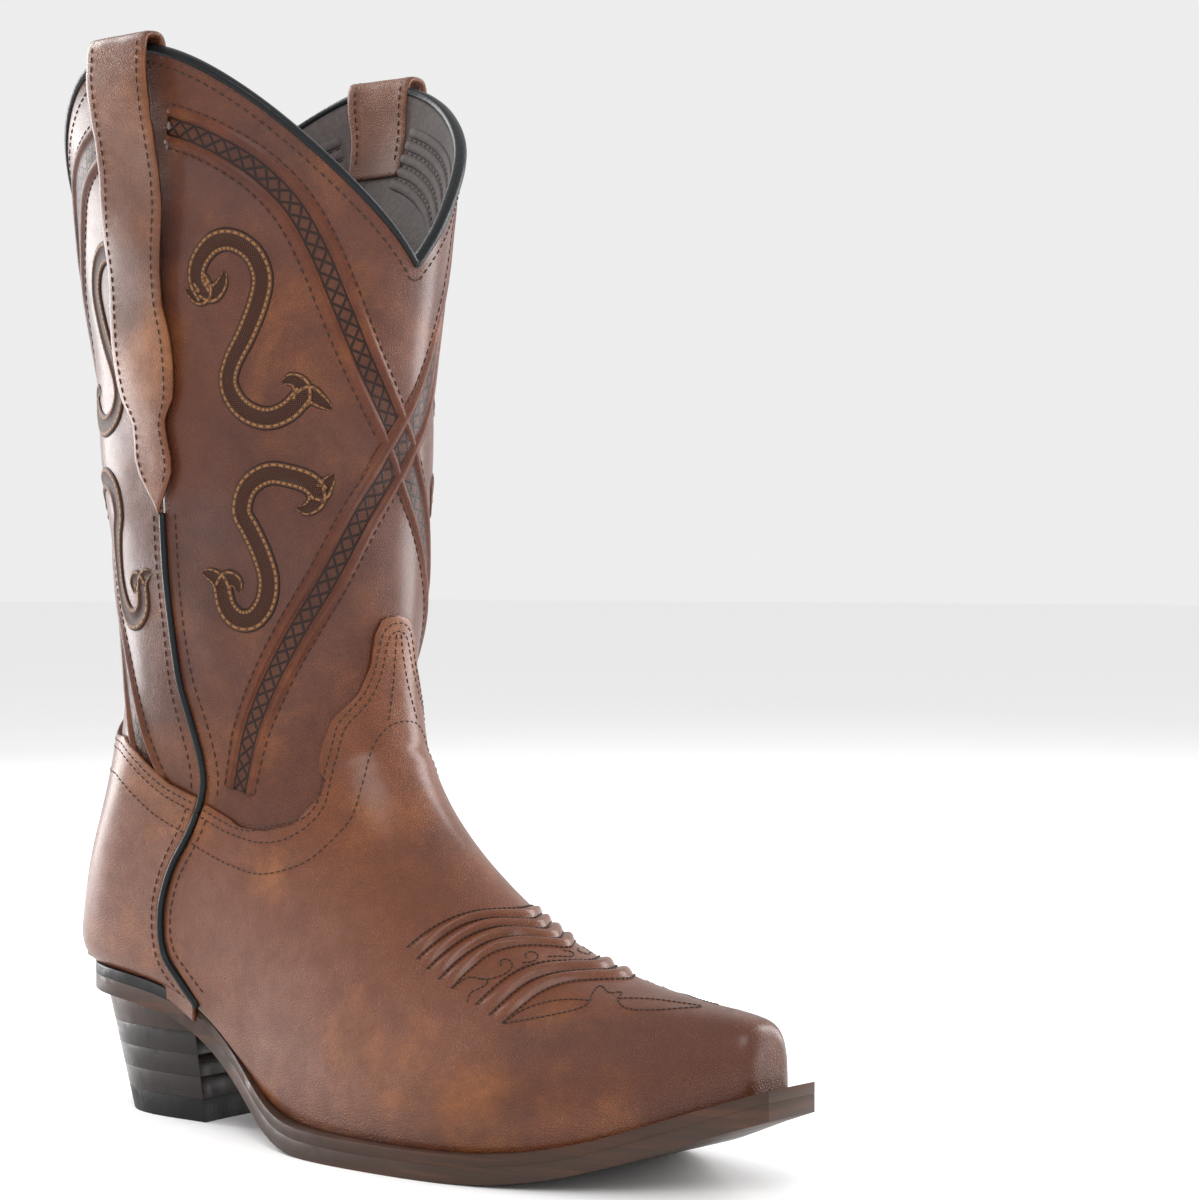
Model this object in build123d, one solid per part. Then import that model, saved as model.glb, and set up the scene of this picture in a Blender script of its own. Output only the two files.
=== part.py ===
"""Cowboy boot, right foot: lasted leather upper on a welted sole with a stacked heel.

Frame: toe along +X, inner side of the foot along +Y, Z up, heel and tread resting on z = 0.
The upper is a set of nested layers around one last shape; every layer is trimmed by side-view
and front-view outlines into the pieces a bootmaker cuts.
"""

import os
from math import cos, hypot, pi, radians, sin

from build123d import *

# ---------------------------------------------------------------- driving sizes (mm)
cover = 1.5            # vamp and counter leather standing proud of the shaft surface
shell_in = -1.5        # inner face of the shaft leather
lining_out = -1.55
lining_in = -2.7
sole_thick = 8.5       # welt and outsole together
welt_thick = 3.4
top_notch_z = 267.5    # bottom of the V at the front and at the back
top_side_z = 333.2     # top line at the pull straps
seam_gap = 2.9         # width kept free for the side piping
cap_thick = 7.3
lift_thick = 7.0
strap_thick = 2.0
rand_wide = 2.5        # welt and rand showing round the narrowest part of the upper
frame_shift_x = 4.8    # centres the bounding box on the origin
frame_shift_y = 0.0
slit = 0.12            # gap between neighbouring pieces of one layer

# last shape, one row per section: top or front point (x, z), bottom or back point (x, z),
# half widths outer and inner, place of the greatest width, front and back fullness
last_rows = [
    (136.0, 43.5, 136.0, 16.0, 6.8, 7.2, 0.60, 3.2, 4.0),
    (134.8, 45.6, 134.8, 14.0, 8.8, 9.2, 0.60, 3.2, 4.0),
    (131.0, 47.2, 131.0, 12.0, 11.2, 11.4, 0.62, 3.0, 4.5),
    (120.0, 48.9, 119.0, 7.0, 17.5, 15.0, 0.64, 2.5, 5.0),
    (103.0, 51.0, 100.0, 1.0, 27.0, 22.5, 0.66, 2.2, 5.0),
    (84.0, 54.7, 76.0, -4.0, 37.0, 30.5, 0.68, 2.0, 5.0),
    (63.0, 61.5, 44.0, -8.0, 44.0, 38.0, 0.70, 1.85, 5.0),
    (43.0, 72.0, 10.0, -8.0, 44.0, 39.0, 0.68, 1.8, 4.5),
    (24.0, 86.0, -20.0, -2.0, 40.5, 35.5, 0.64, 1.85, 4.0),
    (9.0, 101.0, -52.0, 12.0, 36.0, 33.0, 0.60, 1.9, 3.6),
    (-1.0, 117.0, -88.0, 22.0, 34.0, 32.5, 0.57, 2.0, 3.3),
    (-5.5, 133.0, -120.0, 28.0, 33.5, 33.0, 0.55, 2.1, 3.1),
    (-7.0, 148.0, -131.5, 58.0, 34.5, 34.5, 0.53, 2.1, 2.8),
    (-7.0, 165.0, -122.0, 92.0, 37.5, 37.5, 0.51, 2.1, 2.4),
    (-6.0, 185.0, -113.5, 138.0, 39.5, 39.5, 0.50, 2.1, 2.2),
    (-4.5, 207.0, -120.5, 183.0, 41.5, 41.5, 0.50, 2.1, 2.15),
    (-2.0, 234.0, -129.5, 232.0, 41.5, 41.5, 0.50, 2.1, 2.1),
    (0.5, 260.0, -133.5, 260.0, 43.0, 43.0, 0.50, 2.1, 2.1),
    (3.5, 285.0, -136.0, 285.0, 47.5, 47.5, 0.50, 2.1, 2.1),
    (7.0, 310.0, -135.5, 310.0, 53.5, 53.5, 0.50, 2.1, 2.1),
    (10.0, 345.0, -135.5, 345.0, 52.5, 52.5, 0.50, 2.1, 2.1),
]
ankle_row = 12         # section where the foot part and the shaft part of the last meet
toe_follow = [1.0, 0.95, 0.85, 0.6, 0.3]
strap_bow = {18: 3.4, 19: 6.2, 20: 7.0}

# top of the welt along the foot (x, z)
sole_line = [
    (-165, 48.0), (-150, 47.6), (-132, 47.2), (-120, 46.8), (-95, 45.0), (-75, 41.5), (-62, 36.5),
    (-50, 29.5), (-38, 22.0), (-25, 14.5), (-12, 10.0), (5, 8.4), (25, 8.2), (50, 8.4),
    (75, 9.8), (100, 15.0), (125, 24.0), (145, 31.0), (165, 38.0),
]
# edge of welt and outsole (x, outer half width, inner half width)
sole_edge = [
    (-132, 0, 0), (-129, 13, 13), (-122, 22, 22), (-110, 29.5, 29.5), (-95, 32, 32), (-75, 32, 31.5),
    (-50, 33, 29), (-30, 39, 30), (-10, 46, 34), (10, 49.5, 39), (30, 50, 43), (50, 49, 44.5),
    (70, 45, 41), (90, 37.5, 34), (110, 28.5, 25.5), (130, 18, 17), (145, 10.5, 10.5),
]
# cork well between the lasting margins (x, outer half width, inner half width)
filler_edge = [
    (-110, 0, 0), (-106, 9, 9), (-95, 14, 14), (-75, 15, 15), (-50, 14, 12), (-30, 18, 13), (-10, 24, 16),
    (10, 28, 19), (30, 30, 23), (50, 28, 24), (70, 24, 20), (90, 17, 13), (104, 9, 7),
]
# side seam seen from the side (x, z), from the top edge to the sole
seam_line = [
    (-70.0, 350), (-69.7, 320), (-69.0, 280), (-68.2, 235), (-66.9, 191), (-65.7, 161.6),
    (-63.5, 142), (-59.6, 126.4), (-57.3, 112), (-58.2, 102.5), (-63.0, 91.5), (-71.0, 79.5),
    (-75.5, 66), (-74.0, 53.5), (-66.5, 45.5), (-59.0, 38.5), (-50.0, 27.0), (-40.0, 8.0),
]
# upper edge of the vamp from the side seam to the wing (x, z)
vamp_line = [
    (-75, 106), (-66, 103.6), (-57, 101.2), (-45.7, 96.5), (-33.1, 93.4), (-22.5, 96.0),
    (-16.0, 104.5), (-14.2, 114.0), (-16.6, 124.1),
]
# tongue of the vamp seen from the front (half width, z)
tongue_edge = [(21.3, 124.1), (18.6, 128.2), (12.9, 135.6), (9.4, 144.4), (8.3, 153.5), (5.6, 158.6), (0.0, 159.4)]
# upper edge of the heel counter from the side seam backwards (x, z)
counter_line = [(-40, 100.5), (-57, 101.5), (-71.9, 107.3), (-84.2, 116.0), (-93.0, 121.0), (-160, 124.0)]
counter_tab = [(26.0, 121.0), (17.0, 126.5), (11.5, 134.5), (8.0, 142.0), (0.0, 144.5)]
# middle line of the scrolls (x, z), front half of the shaft
scroll_high = [
    (-54.2, 260.0), (-47.5, 256.5), (-41.3, 262.2), (-43.8, 272.6), (-36.7, 273.4), (-29.9, 269.2),
    (-28.1, 262.5), (-29.4, 255.1), (-33.1, 245.5), (-38.7, 236.0), (-39.7, 229.1), (-35.3, 222.3),
    (-28.5, 219.1), (-22.1, 221.1), (-17.5, 227.0),
]
scroll_low = [
    (-13.0, 199.5), (-16.0, 196.0), (-20.8, 200.0), (-27.4, 202.7), (-33.4, 198.9), (-35.5, 191.3),
    (-32.6, 186.1), (-30.3, 178.5), (-28.7, 170.6), (-30.4, 163.0), (-34.3, 158.1), (-39.4, 158.1),
    (-43.5, 161.7), (-44.1, 168.8), (-50.0, 173.0),
]
scroll_wide = 6.6
shaft_middle_x = -66.5
# outline of the pull strap seen from the side (x, z)
strap_outline = [
    (-81.0, 345), (-53.0, 345), (-53.3, 315), (-54.0, 303), (-56.0, 292), (-58.4, 282), (-60.8, 270),
    (-61.6, 255), (-59.8, 245), (-59.0, 235), (-59.4, 226), (-61.6, 219), (-60.3, 208), (-60.4, 203),
    (-66.3, 190.5), (-76.5, 203), (-79.0, 209), (-79.6, 217), (-85.5, 226), (-88.3, 234), (-88.8, 246),
    (-88.2, 258), (-86.0, 272), (-82.6, 285), (-79.6, 297), (-78.8, 308), (-80.0, 325),
]
strap_inner_end = 282.0


# ---------------------------------------------------------------- shape helpers
def section(row, offset, shift, count=24):
    """Closed curve of one last section, grown outwards by offset."""
    fx, fz, bx, bz, outer, inner, middle, front, back = row
    length = hypot(bx - fx, bz - fz)
    ux, uz = (bx - fx) / length, (bz - fz) / length
    fx, fz, bx, bz = fx - ux * offset, fz - uz * offset, bx + ux * offset, bz + uz * offset
    points = []
    for step in range(count):
        angle = 2 * pi * step / count
        power = 2 / front if cos(angle) >= 0 else 2 / back
        reach = abs(cos(angle)) ** power
        along = middle * (1 - reach) if cos(angle) >= 0 else middle + (1 - middle) * reach
        wide = (inner if sin(angle) >= 0 else -outer) + (offset if sin(angle) >= 0 else -offset)
        side = wide * abs(sin(angle)) ** power
        points.append((fx + (bx - fx) * along + shift, side, fz + (bz - fz) * along))
    knots = [step / count for step in range(count + 1)]
    return Wire([Edge.make_spline(points, periodic=True, parameters=knots)])


def last_body(offset, bow=None):
    """Solid last grown by offset; bow adds extra growth at chosen sections."""
    grow = [offset + (bow or {}).get(index, 0.0) for index in range(len(last_rows))]
    follow = toe_follow + [0.0] * len(last_rows)
    wires = [section(row, grow[i], grow[i] * follow[i]) for i, row in enumerate(last_rows)]
    foot = Solid.make_loft(wires[: ankle_row + 2])
    shaft = Solid.make_loft(wires[ankle_row - 5 :])
    lower, upper = ankle_halves()
    return (foot & lower) + (shaft & upper)


def ankle_halves():
    """Two big prisms below and above the slanted ankle section."""
    fx, fz, bx, bz = last_rows[ankle_row][:4]
    slope = (fz - bz) / (fx - bx)
    front, back = (400, fz + slope * (400 - fx)), (-400, fz + slope * (-400 - fx))
    lower = side_prism([front, back, (-400, -600), (400, -600)])
    upper = side_prism([front, back, (-400, 800), (400, 800)])
    return lower, upper


def side_prism(points, half=100):
    """Prism across the boot from a straight-sided outline in side view."""
    outline = Wire.make_polygon([(x, -half, z) for x, z in points], close=True)
    return Solid.extrude(Face(outline), Vector(0, 2 * half, 0))


def front_prism(points, x_from, x_to):
    """Prism along the boot from an outline in front view, mirrored to both sides."""
    right = [(x_from, y, z) for y, z in points]
    left = [(x_from, -y, z) for y, z in reversed(points) if y > 0]
    outline = Wire.make_polygon(right + left, close=True)
    return Solid.extrude(Face(outline), Vector(x_to - x_from, 0, 0))


def inset_side(rows, inset):
    """Half-width rows of one side moved square to the outline by inset, tail first, tip last."""
    points = []
    for index, (x, half) in enumerate(rows):
        before, after = rows[max(index - 1, 0)], rows[min(index + 1, len(rows) - 1)]
        way_x, way_y = after[0] - before[0], after[1] - before[1]
        if index == 0:
            way_x, way_y = 0.0, 1.0
        length = hypot(way_x, way_y)
        points.append((x + inset * way_y / length, half - inset * way_x / length))
    return points


def plan_prism(rows, inset, low, high):
    """Upright prism from (x, outer half width, inner half width), moved in by inset."""
    outer = [(x, -y, low) for x, y in inset_side([(x, a) for x, a, _ in rows], inset)]
    inner = [(x, y, low) for x, y in inset_side([(x, b) for x, _, b in rows], inset)]
    rim = Edge.make_spline(list(reversed(inner)) + outer[1:])
    nose = Edge.make_line(outer[-1], inner[-1])
    return Solid.extrude(Face(Wire([rim, nose])), Vector(0, 0, high - low))


def above(rise, half=100):
    """Everything higher than the welt top moved by rise."""
    curve = Edge.make_spline([(x, -half, z + rise) for x, z in sole_line])
    start, end = curve @ 0, curve @ 1
    roof = Wire.make_polygon([end, (end.X, -half, 460), (start.X, -half, 460), start], close=False)
    return Solid.extrude(Face(Wire([curve] + roof.edges())), Vector(0, 2 * half, 0))


def slab(low, high):
    """Curved layer between two heights over the welt top."""
    return above(low) - above(high)


def wall(points, width, half=100):
    """Thin upright wall following a side-view line."""
    line = Edge.make_spline([(x, 0, z) for x, z in points])
    count = 40
    left, right = [], []
    for step in range(count + 1):
        at = line @ (step / count)
        way = line % (step / count)
        left.append((at.X - way.Z * width / 2, at.Z + way.X * width / 2))
        right.append((at.X + way.Z * width / 2, at.Z - way.X * width / 2))
    sides = [Edge.make_spline([(x, -half, z) for x, z in row]) for row in (left, right)]
    ends = [Edge.make_line(sides[0] @ t, sides[1] @ t) for t in (0, 1)]
    return Solid.extrude(Face(Wire(sides + ends)), Vector(0, 2 * half, 0))


def ribbon(points, width, half=100):
    """Upright band with round ends along a curling side-view line."""
    line = Edge.make_spline([(x, 0, z) for x, z in points])
    path = Wire.make_polygon([line @ (step / 36) for step in range(37)], close=False)
    outline = path.offset_2d(width / 2, kind=Kind.ARC, side=Side.BOTH, closed=True)
    return Solid.extrude(Face(outline).moved(Location((0, -half, 0))), Vector(0, 2 * half, 0))


def top_height(angle, rise):
    """Height of the scalloped top line at an angle round the shaft, 0 at the front V."""
    return top_notch_z + rise + (top_side_z - top_notch_z) * abs(sin(angle)) ** 0.95


def top_cutter(rise):
    """Everything above the scalloped top line moved by rise."""
    pieces = []
    for first in (0, 90, 180, 270):
        angles = [radians(first + 90 * step / 12) for step in range(13)]
        rims = []
        for reach in (6, 130):
            row = [(shaft_middle_x + reach * cos(a), reach * sin(a), top_height(a, rise)) for a in angles]
            rims.append(Edge.make_spline(row))
        face = Face.make_surface_from_curves(rims[0], rims[1])
        pieces.append(Solid.extrude(face, Vector(0, 0, 140)))
    return pieces


def largest(shape, side=None):
    """Biggest solid of a shape, optionally the biggest one at one side of a test."""
    solids = [s for s in shape.solids() if side is None or side(s.center())]
    return max(solids, key=lambda s: s.volume)


def trim(shape, cutters):
    for cutter in cutters:
        shape = shape - cutter
    return shape


def save(shape, name):
    """Moves a part into the shared frame and writes it."""
    solids = shape.solids()
    placed = [s.moved(Location((-frame_shift_x, -frame_shift_y, 0))) for s in solids]
    part = Compound(children=placed) if len(placed) > 1 else placed[0]
    export_step(part, "parts/" + name + ".step", write_pcurves=False)
    return placed


# ---------------------------------------------------------------- upper
def upper_body(offset, rise):
    """Last body stepped in at the feather line, so the sole edge always shows outside it."""
    lean = cover - offset
    tuck = plan_prism(sole_edge, rand_wide + lean, -5, 120)
    return largest((last_body(offset) & above(rise)) & (above(0.05 + lean) + tuck))


def leather_layer(outer, outer_rise, inner, inner_rise):
    """One wrapped layer of the upper with its lasting margin turned in under the foot."""
    outside = upper_body(outer, outer_rise)
    inside = upper_body(inner, inner_rise)
    well = plan_prism(filler_edge, 0, -5, 120) & slab(-12, 3)
    return largest(outside - inside) - well


def vamp_region():
    """Side and front outlines that bound the vamp and its tongue."""
    side = vamp_line + [(220, 124.1), (220, -60), (-120, -60), (-120, 106)]
    tongue = [(21.3, 118.0)] + tongue_edge
    return side_prism(side) + front_prism(tongue, -30, 60)


def counter_region():
    """Side and back outlines that bound the heel counter and its tab."""
    side = counter_line + [(-160, -60), (-20, -60), (-20, 100.5)]
    tab = [(26.0, 112.0)] + counter_tab
    return side_prism(side) + front_prism(tab, -160, -90)


def cover_pieces():
    """Vamp and heel counter, parted by the side seam."""
    layer = leather_layer(cover, -welt_thick, 0.1, -2.1) - wall(seam_line, seam_gap)
    halves = sorted(layer.solids(), key=lambda s: s.center().X)
    counter = largest(halves[0] & counter_region())
    vamp = largest(halves[-1] & vamp_region())
    return {"vamp": vamp, "heel_counter": counter}


def shell_pieces():
    """Shaft panels with the laps, stiffener, doubler and toe box that continue them below."""
    layer = trim(leather_layer(0.0, -2.0, shell_in, -0.7), top_cutter(0))
    front_lap = [(-75, 94)] + [(x, z - 12) for x, z in vamp_line[2:6]] + [(-8, 100), (6, 108), (60, 112)]
    back_lap = [(-160, 112), (-93, 109.0), (-84.2, 104.0), (-71.9, 95.5), (-57, 90.0), (-40, 89.0)]
    shaft_seam = [p for p in seam_line if p[1] > 96] + [(-60.0, 84.0)]
    stiffener_edge = [(-58.5, 104), (-57.0, 88), (-47, 62), (-36, 38), (-24, -10)]
    toe_edge = [(94, 80), (90, 50), (80, -10)]
    split = trim(layer, [
        wall(shaft_seam, seam_gap), wall(front_lap, slit), wall(back_lap, slit),
        wall(stiffener_edge, slit), wall(toe_edge, slit),
    ])
    solids = sorted(split.solids(), key=lambda s: s.volume, reverse=True)
    high = [s for s in solids if s.center().Z > 130]
    low = [s for s in solids if s.center().Z <= 130]
    return {
        "shaft_front_panel": max(high, key=lambda s: s.center().X),
        "shaft_back_panel": min(high[:2], key=lambda s: s.center().X),
        "heel_stiffener": min(low[:3], key=lambda s: s.center().X),
        "toe_box": max(low[:3], key=lambda s: s.center().X),
        "vamp_doubler": sorted(low[:3], key=lambda s: s.center().X)[1],
    }


def lining_pieces():
    """Soft lining of shaft, vamp and heel."""
    layer = trim(leather_layer(lining_out, -0.6, lining_in, 0.6), top_cutter(0))
    lap = [(-160, 118), (-100, 114), (-60, 98), (-30, 99), (0, 113), (60, 122)]
    heel_edge = [(-60, 120), (-58, 98), (-42, 50), (-22, -10)]
    shaft_seam = [p for p in seam_line if p[1] > 96] + [(-59.5, 94.0)]
    split = trim(layer, [wall(shaft_seam, slit), wall(lap, slit), wall(heel_edge, slit)])
    solids = sorted(split.solids(), key=lambda s: s.volume, reverse=True)[:4]
    high = sorted([s for s in solids if s.center().Z > 130], key=lambda s: s.center().X)
    low = sorted([s for s in solids if s.center().Z <= 130], key=lambda s: s.center().X)
    return {
        "shaft_lining_back": high[0], "shaft_lining_front": high[-1],
        "heel_lining": low[0], "vamp_lining": low[-1],
    }


def half_space(side):
    """Everything on the outer (-1) or inner (+1) side of the boot."""
    return Solid.make_box(600, 300, 700).moved(Location((-300, 0 if side > 0 else -300, -100)))


def piping_pieces():
    """Rounded strip sewn into each side seam from the sole to the tip of the pull strap."""
    strip = wall(seam_line, seam_gap - 0.3) & side_prism([(-120, -60), (0, -60), (0, 187.0), (-120, 187.0)])
    low = (last_body(3.0) & above(0.05)) - last_body(0.1)
    high = last_body(1.5) - last_body(shell_in)
    joint_z = 104.0
    low_part = strip & low & side_prism([(-120, -60), (0, -60), (0, joint_z + 1), (-120, joint_z + 1)])
    high_part = strip & high & side_prism([(-120, joint_z), (0, joint_z), (0, 190), (-120, 190)])
    whole = low_part + high_part
    return {
        "side_piping_outer": largest(whole & half_space(-1)),
        "side_piping_inner": largest(whole & half_space(1)),
    }


def binding_pieces():
    """Edge binding folded over the scalloped top, one length on each panel."""
    band = trim(last_body(0.7) - last_body(lining_in - 0.75), top_cutter(0.9))
    wrapped = trim(last_body(0.06) - last_body(lining_in - 0.06), top_cutter(0.05))
    pieces = [largest(band & piece) for piece in top_cutter(-2.6)]
    ring = pieces[0]
    for piece in pieces[1:]:
        ring = ring + piece
    ring = trim(ring - wrapped, [wall(seam_line, 0.6)])
    halves = sorted(ring.solids(), key=lambda s: s.volume, reverse=True)[:2]
    halves.sort(key=lambda s: s.center().X)
    return {"top_binding_back": halves[0], "top_binding_front": halves[1]}


def strap_pieces():
    """Pull straps looped over the top edge, standing off the shaft to leave room for fingers."""
    outline = side_prism(strap_outline)
    strap_face = cover + 1.25
    inner_skin = lining_in - 0.9
    roof_z = top_side_z + 1.3
    top_z = roof_z + strap_thick
    outside = last_body(strap_face, strap_bow) - last_body(strap_face - strap_thick, strap_bow)
    inside = last_body(inner_skin) - last_body(inner_skin - strap_thick)
    roof = last_body(strap_face, strap_bow) - last_body(inner_skin - strap_thick)
    level = side_prism([(-200, roof_z), (100, roof_z), (100, top_z), (-200, top_z)])
    under = side_prism([(-200, -50), (100, -50), (100, top_z), (-200, top_z)])
    lining_leg = side_prism([(-200, strap_inner_end), (100, strap_inner_end), (100, top_z), (-200, top_z)])
    whole = ((outside & under) + (roof & level) + (inside & lining_leg)) & outline
    return {
        "pull_strap_outer": largest(whole & half_space(-1)),
        "pull_strap_inner": largest(whole & half_space(1)),
    }


def scroll_pieces():
    """Leather scrolls let into the shaft, two on each quarter of the boot."""
    skin = last_body(0.7) - last_body(0.05)
    pieces = {}
    for level, line, middle in (("high", scroll_high, -69.6), ("low", scroll_low, -63.0)):
        for end in ("front", "back"):
            points = line if end == "front" else [(2 * middle - x, z) for x, z in line]
            stroke = skin & ribbon(points, scroll_wide)
            for name, side in (("outer", -1), ("inner", 1)):
                pieces[f"scroll_{level}_{end}_{name}"] = largest(stroke & half_space(side))
    return pieces


# ---------------------------------------------------------------- sole and heel
def heel_wire(z, breast, half, points):
    """Outline of the heel at one height: curved breast, rounded back."""
    back = [(breast, -half, z)] + [(x, -y, z) for x, y in points]
    back += [(x, y, z) for x, y in reversed(points[:-1])] + [(breast, half, z)]
    front = Edge.make_three_point_arc((breast, half, z), (breast - 2.0, 0, z), (breast, -half, z))
    return Wire([Edge.make_spline(back), front])


def heel_block():
    low = heel_wire(0, -66.0, 25.0, [(-85, 25.6), (-100, 23.0), (-110, 15.5), (-116.6, 0)])
    high = heel_wire(48, -68.5, 30.0, [(-90, 31.0), (-111, 27.0), (-123, 18.5), (-131.2, 0)])
    return Solid.make_loft([low, high], ruled=True)


def fastener(x, y, low, high, radius):
    return Solid.make_cylinder(radius, high - low, Plane((x, y, low)))


def sole_pieces():
    """Everything under the upper, before the nails and pegs are let in."""
    outline = plan_prism(sole_edge, 0, -5, 60)
    floor = Solid.make_box(600, 300, 300).moved(Location((-300, -150, 0)))
    ring = (outline & slab(-welt_thick, 0)) - upper_body(cover + 0.06, -20)
    ring = ring - wall([(-64, 90), (-64, 40), (-64, -10)], slit)
    ends = sorted(ring.solids(), key=lambda s: s.volume, reverse=True)[:2]
    ends.sort(key=lambda s: s.center().X)
    shank_box = Solid.make_box(92, 14, 90).moved(Location((-104, -7, -5)))
    shank = largest(shank_box & slab(-1.9, -0.4))
    well = plan_prism(filler_edge, 0.1, -5, 120)
    filler = largest((well & slab(-welt_thick + 0.02, 0.62)) - (shank_box & slab(-1.93, -0.37)))
    heel = heel_block() - above(-sole_thick - 0.05)
    pieces = {
        "welt": ends[1],
        "heel_rand": ends[0],
        "insole": largest(upper_body(lining_in - 0.1, 0.7) - above(4.2)),
        "sock_liner": largest(upper_body(lining_in - 0.15, 4.5) - above(5.7)),
        "steel_shank": shank,
        "cork_filler": filler,
        "outsole": largest((outline & slab(-sole_thick, -welt_thick - 0.05)) & floor),
        "heel_cap": largest(heel & layer_box(0, cap_thick)),
    }
    for index in range(3):
        low = cap_thick + 0.05 + index * (lift_thick + 0.05)
        pieces[f"heel_lift_{index + 1}"] = largest(heel & layer_box(low, low + lift_thick))
    pieces["heel_wedge"] = largest(heel & layer_box(cap_thick + 3 * (lift_thick + 0.05) + 0.05, 60))
    return pieces


def layer_box(low, high):
    return Solid.make_box(400, 200, high - low).moved(Location((-300, -100, low)))


def fastener_groups():
    """Nails and wooden pegs, with the pieces each group passes through."""
    nails = [fastener(x, y, 19.0, z, 1.1) for x, y, z in (
        (-78, -14, 42.0), (-78, 14, 42.0), (-92, -13.5, 44.5), (-92, 13.5, 44.5),
        (-99, -8.6, 45.8), (-99, 8.6, 45.8),
    )]
    brads = [fastener(x, y, 0.0, 11.0, 0.8) for x, y in (
        (-71, -19), (-71, 19), (-84, -20), (-84, 20), (-97, -18), (-97, 18), (-107, -10), (-107, 10),
        (-111, 0), (-71, 0),
    )]
    pegs = []
    for x, outer, inner in ((-50, 10.5, 9.2), (-42, 11.5, 9.4), (-34, 13, 9.8), (-26, 15, 10.4), (-18, 17, 11.4)):
        top = sole_height(x) + 2.6
        pegs += [fastener(x, -outer, top - 13, top, 1.1), fastener(x, inner, top - 13, top, 1.1)]
    return {"heel_nails": nails, "cap_brads": brads, "shank_pegs": pegs}


def sole_height(x):
    """Height of the welt top at x, straight between the rows of sole_line."""
    for (x0, z0), (x1, z1) in zip(sole_line, sole_line[1:]):
        if x0 <= x <= x1:
            return z0 + (z1 - z0) * (x - x0) / (x1 - x0)
    return 0.0


def main():
    os.makedirs("parts", exist_ok=True)
    pieces = {}
    for make in (cover_pieces, shell_pieces, lining_pieces, piping_pieces, binding_pieces, strap_pieces,
                 scroll_pieces, sole_pieces):
        pieces.update(make())
    groups = fastener_groups()
    drilled = {
        "heel_nails": ("insole", "cork_filler", "outsole", "heel_wedge", "heel_lift_2", "heel_lift_3"),
        "cap_brads": ("heel_cap", "heel_lift_1"),
        "shank_pegs": ("outsole", "cork_filler", "insole"),
    }
    for group, names in drilled.items():
        for name in names:
            pieces[name] = largest(trim(pieces[name], groups[group]))
    for group, solids in groups.items():
        pieces[group] = Compound(children=solids)
    for name, shape in pieces.items():
        save(shape, name)


if __name__ == "__main__":
    main()
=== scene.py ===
"""Cowboy boot, right foot, dressed for display round its fixed frame.

The leather surface is read off the frame once, as two charts of rows and columns: one round the shaft
and one that fans from the ankle down the foot to the toe. Every panel, cord, scroll and stitch lies on
one of these charts at its own height. Lengths are in metres.
"""

from math import cos, pi, radians, sin

import bmesh
import bpy
import numpy as np
from mathutils import Matrix, Vector
from mathutils.bvhtree import BVHTree


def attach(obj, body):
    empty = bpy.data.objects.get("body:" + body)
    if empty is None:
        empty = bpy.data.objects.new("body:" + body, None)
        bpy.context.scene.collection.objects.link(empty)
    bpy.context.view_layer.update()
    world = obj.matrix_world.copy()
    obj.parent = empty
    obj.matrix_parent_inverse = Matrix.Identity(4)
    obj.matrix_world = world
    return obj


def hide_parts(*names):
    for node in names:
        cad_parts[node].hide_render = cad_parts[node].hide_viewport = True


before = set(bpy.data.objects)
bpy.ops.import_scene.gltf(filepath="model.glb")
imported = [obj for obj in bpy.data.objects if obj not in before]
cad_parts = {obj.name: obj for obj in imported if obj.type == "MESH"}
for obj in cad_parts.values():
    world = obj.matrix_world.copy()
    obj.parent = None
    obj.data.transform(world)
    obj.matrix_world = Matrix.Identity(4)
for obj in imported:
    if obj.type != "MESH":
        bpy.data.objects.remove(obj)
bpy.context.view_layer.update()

mm = 0.001
slide = -4.8 * mm        # from the pattern cutter's origin to the frame's
shaft_x = -71.3 * mm     # upright middle line of the shaft
notch_z = 267.5 * mm
side_z = 333.2 * mm
pivot_x = 45 * mm        # point the ankle rows fan from
pivot_z = 150 * mm
toe_x = 118 * mm
cover = 1.5 * mm
columns = 180            # columns of a chart, all round
first_height = 84        # lowest row of the shaft chart, in mm
wave_deep = 0.75 * mm    # soft waves of the worn shaft

seam_line = [
    (-69.0, 280), (-68.2, 235), (-66.9, 191), (-65.7, 161.6), (-63.5, 142), (-59.6, 126.4), (-57.3, 112),
    (-58.2, 102.5), (-63.0, 91.5), (-71.0, 79.5), (-75.5, 66), (-74.0, 53.5), (-66.5, 45.5), (-59.0, 38.5),
]
wing_line = [
    (-56.8, 101.2), (-45.7, 96.5), (-33.1, 93.4), (-22.5, 96.0), (-16.0, 104.5), (-14.2, 114.0),
    (-16.6, 124.1),
]
tongue_line = [(18.6, 128.2), (12.9, 135.6), (9.4, 144.4), (8.3, 153.5), (5.6, 158.6), (0.0, 159.4)]
counter_line = [(-60.5, 103.0), (-71.9, 107.3), (-84.2, 116.0), (-93.0, 121.0)]
tab_line = [(26.0, 121.3), (17.0, 126.5), (11.5, 134.5), (8.0, 142.0), (0.0, 144.5)]
sole_line = [
    (-132, 47.2), (-120, 46.8), (-95, 45.0), (-75, 41.5), (-62, 36.5), (-50, 29.5), (-38, 22.0), (-25, 14.5),
    (-12, 10.0), (5, 8.4), (25, 8.2), (50, 8.4), (75, 9.8), (100, 15.0), (125, 24.0), (145, 31.0),
]


# ---------------------------------------------------------------- leather surface
def ray_target(*names):
    """Ray target made of the given frame parts."""
    bm = bmesh.new()
    for name in names:
        bm.from_mesh(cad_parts[name].data)
    tree = BVHTree.FromBMesh(bm)
    bm.free()
    return tree


shell_parts = ("shaft_front_panel", "shaft_back_panel", "heel_stiffener", "vamp_doubler", "toe_box")
under_leather = ray_target(*shell_parts)
closed_foot = ray_target(*shell_parts, "insole")


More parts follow.
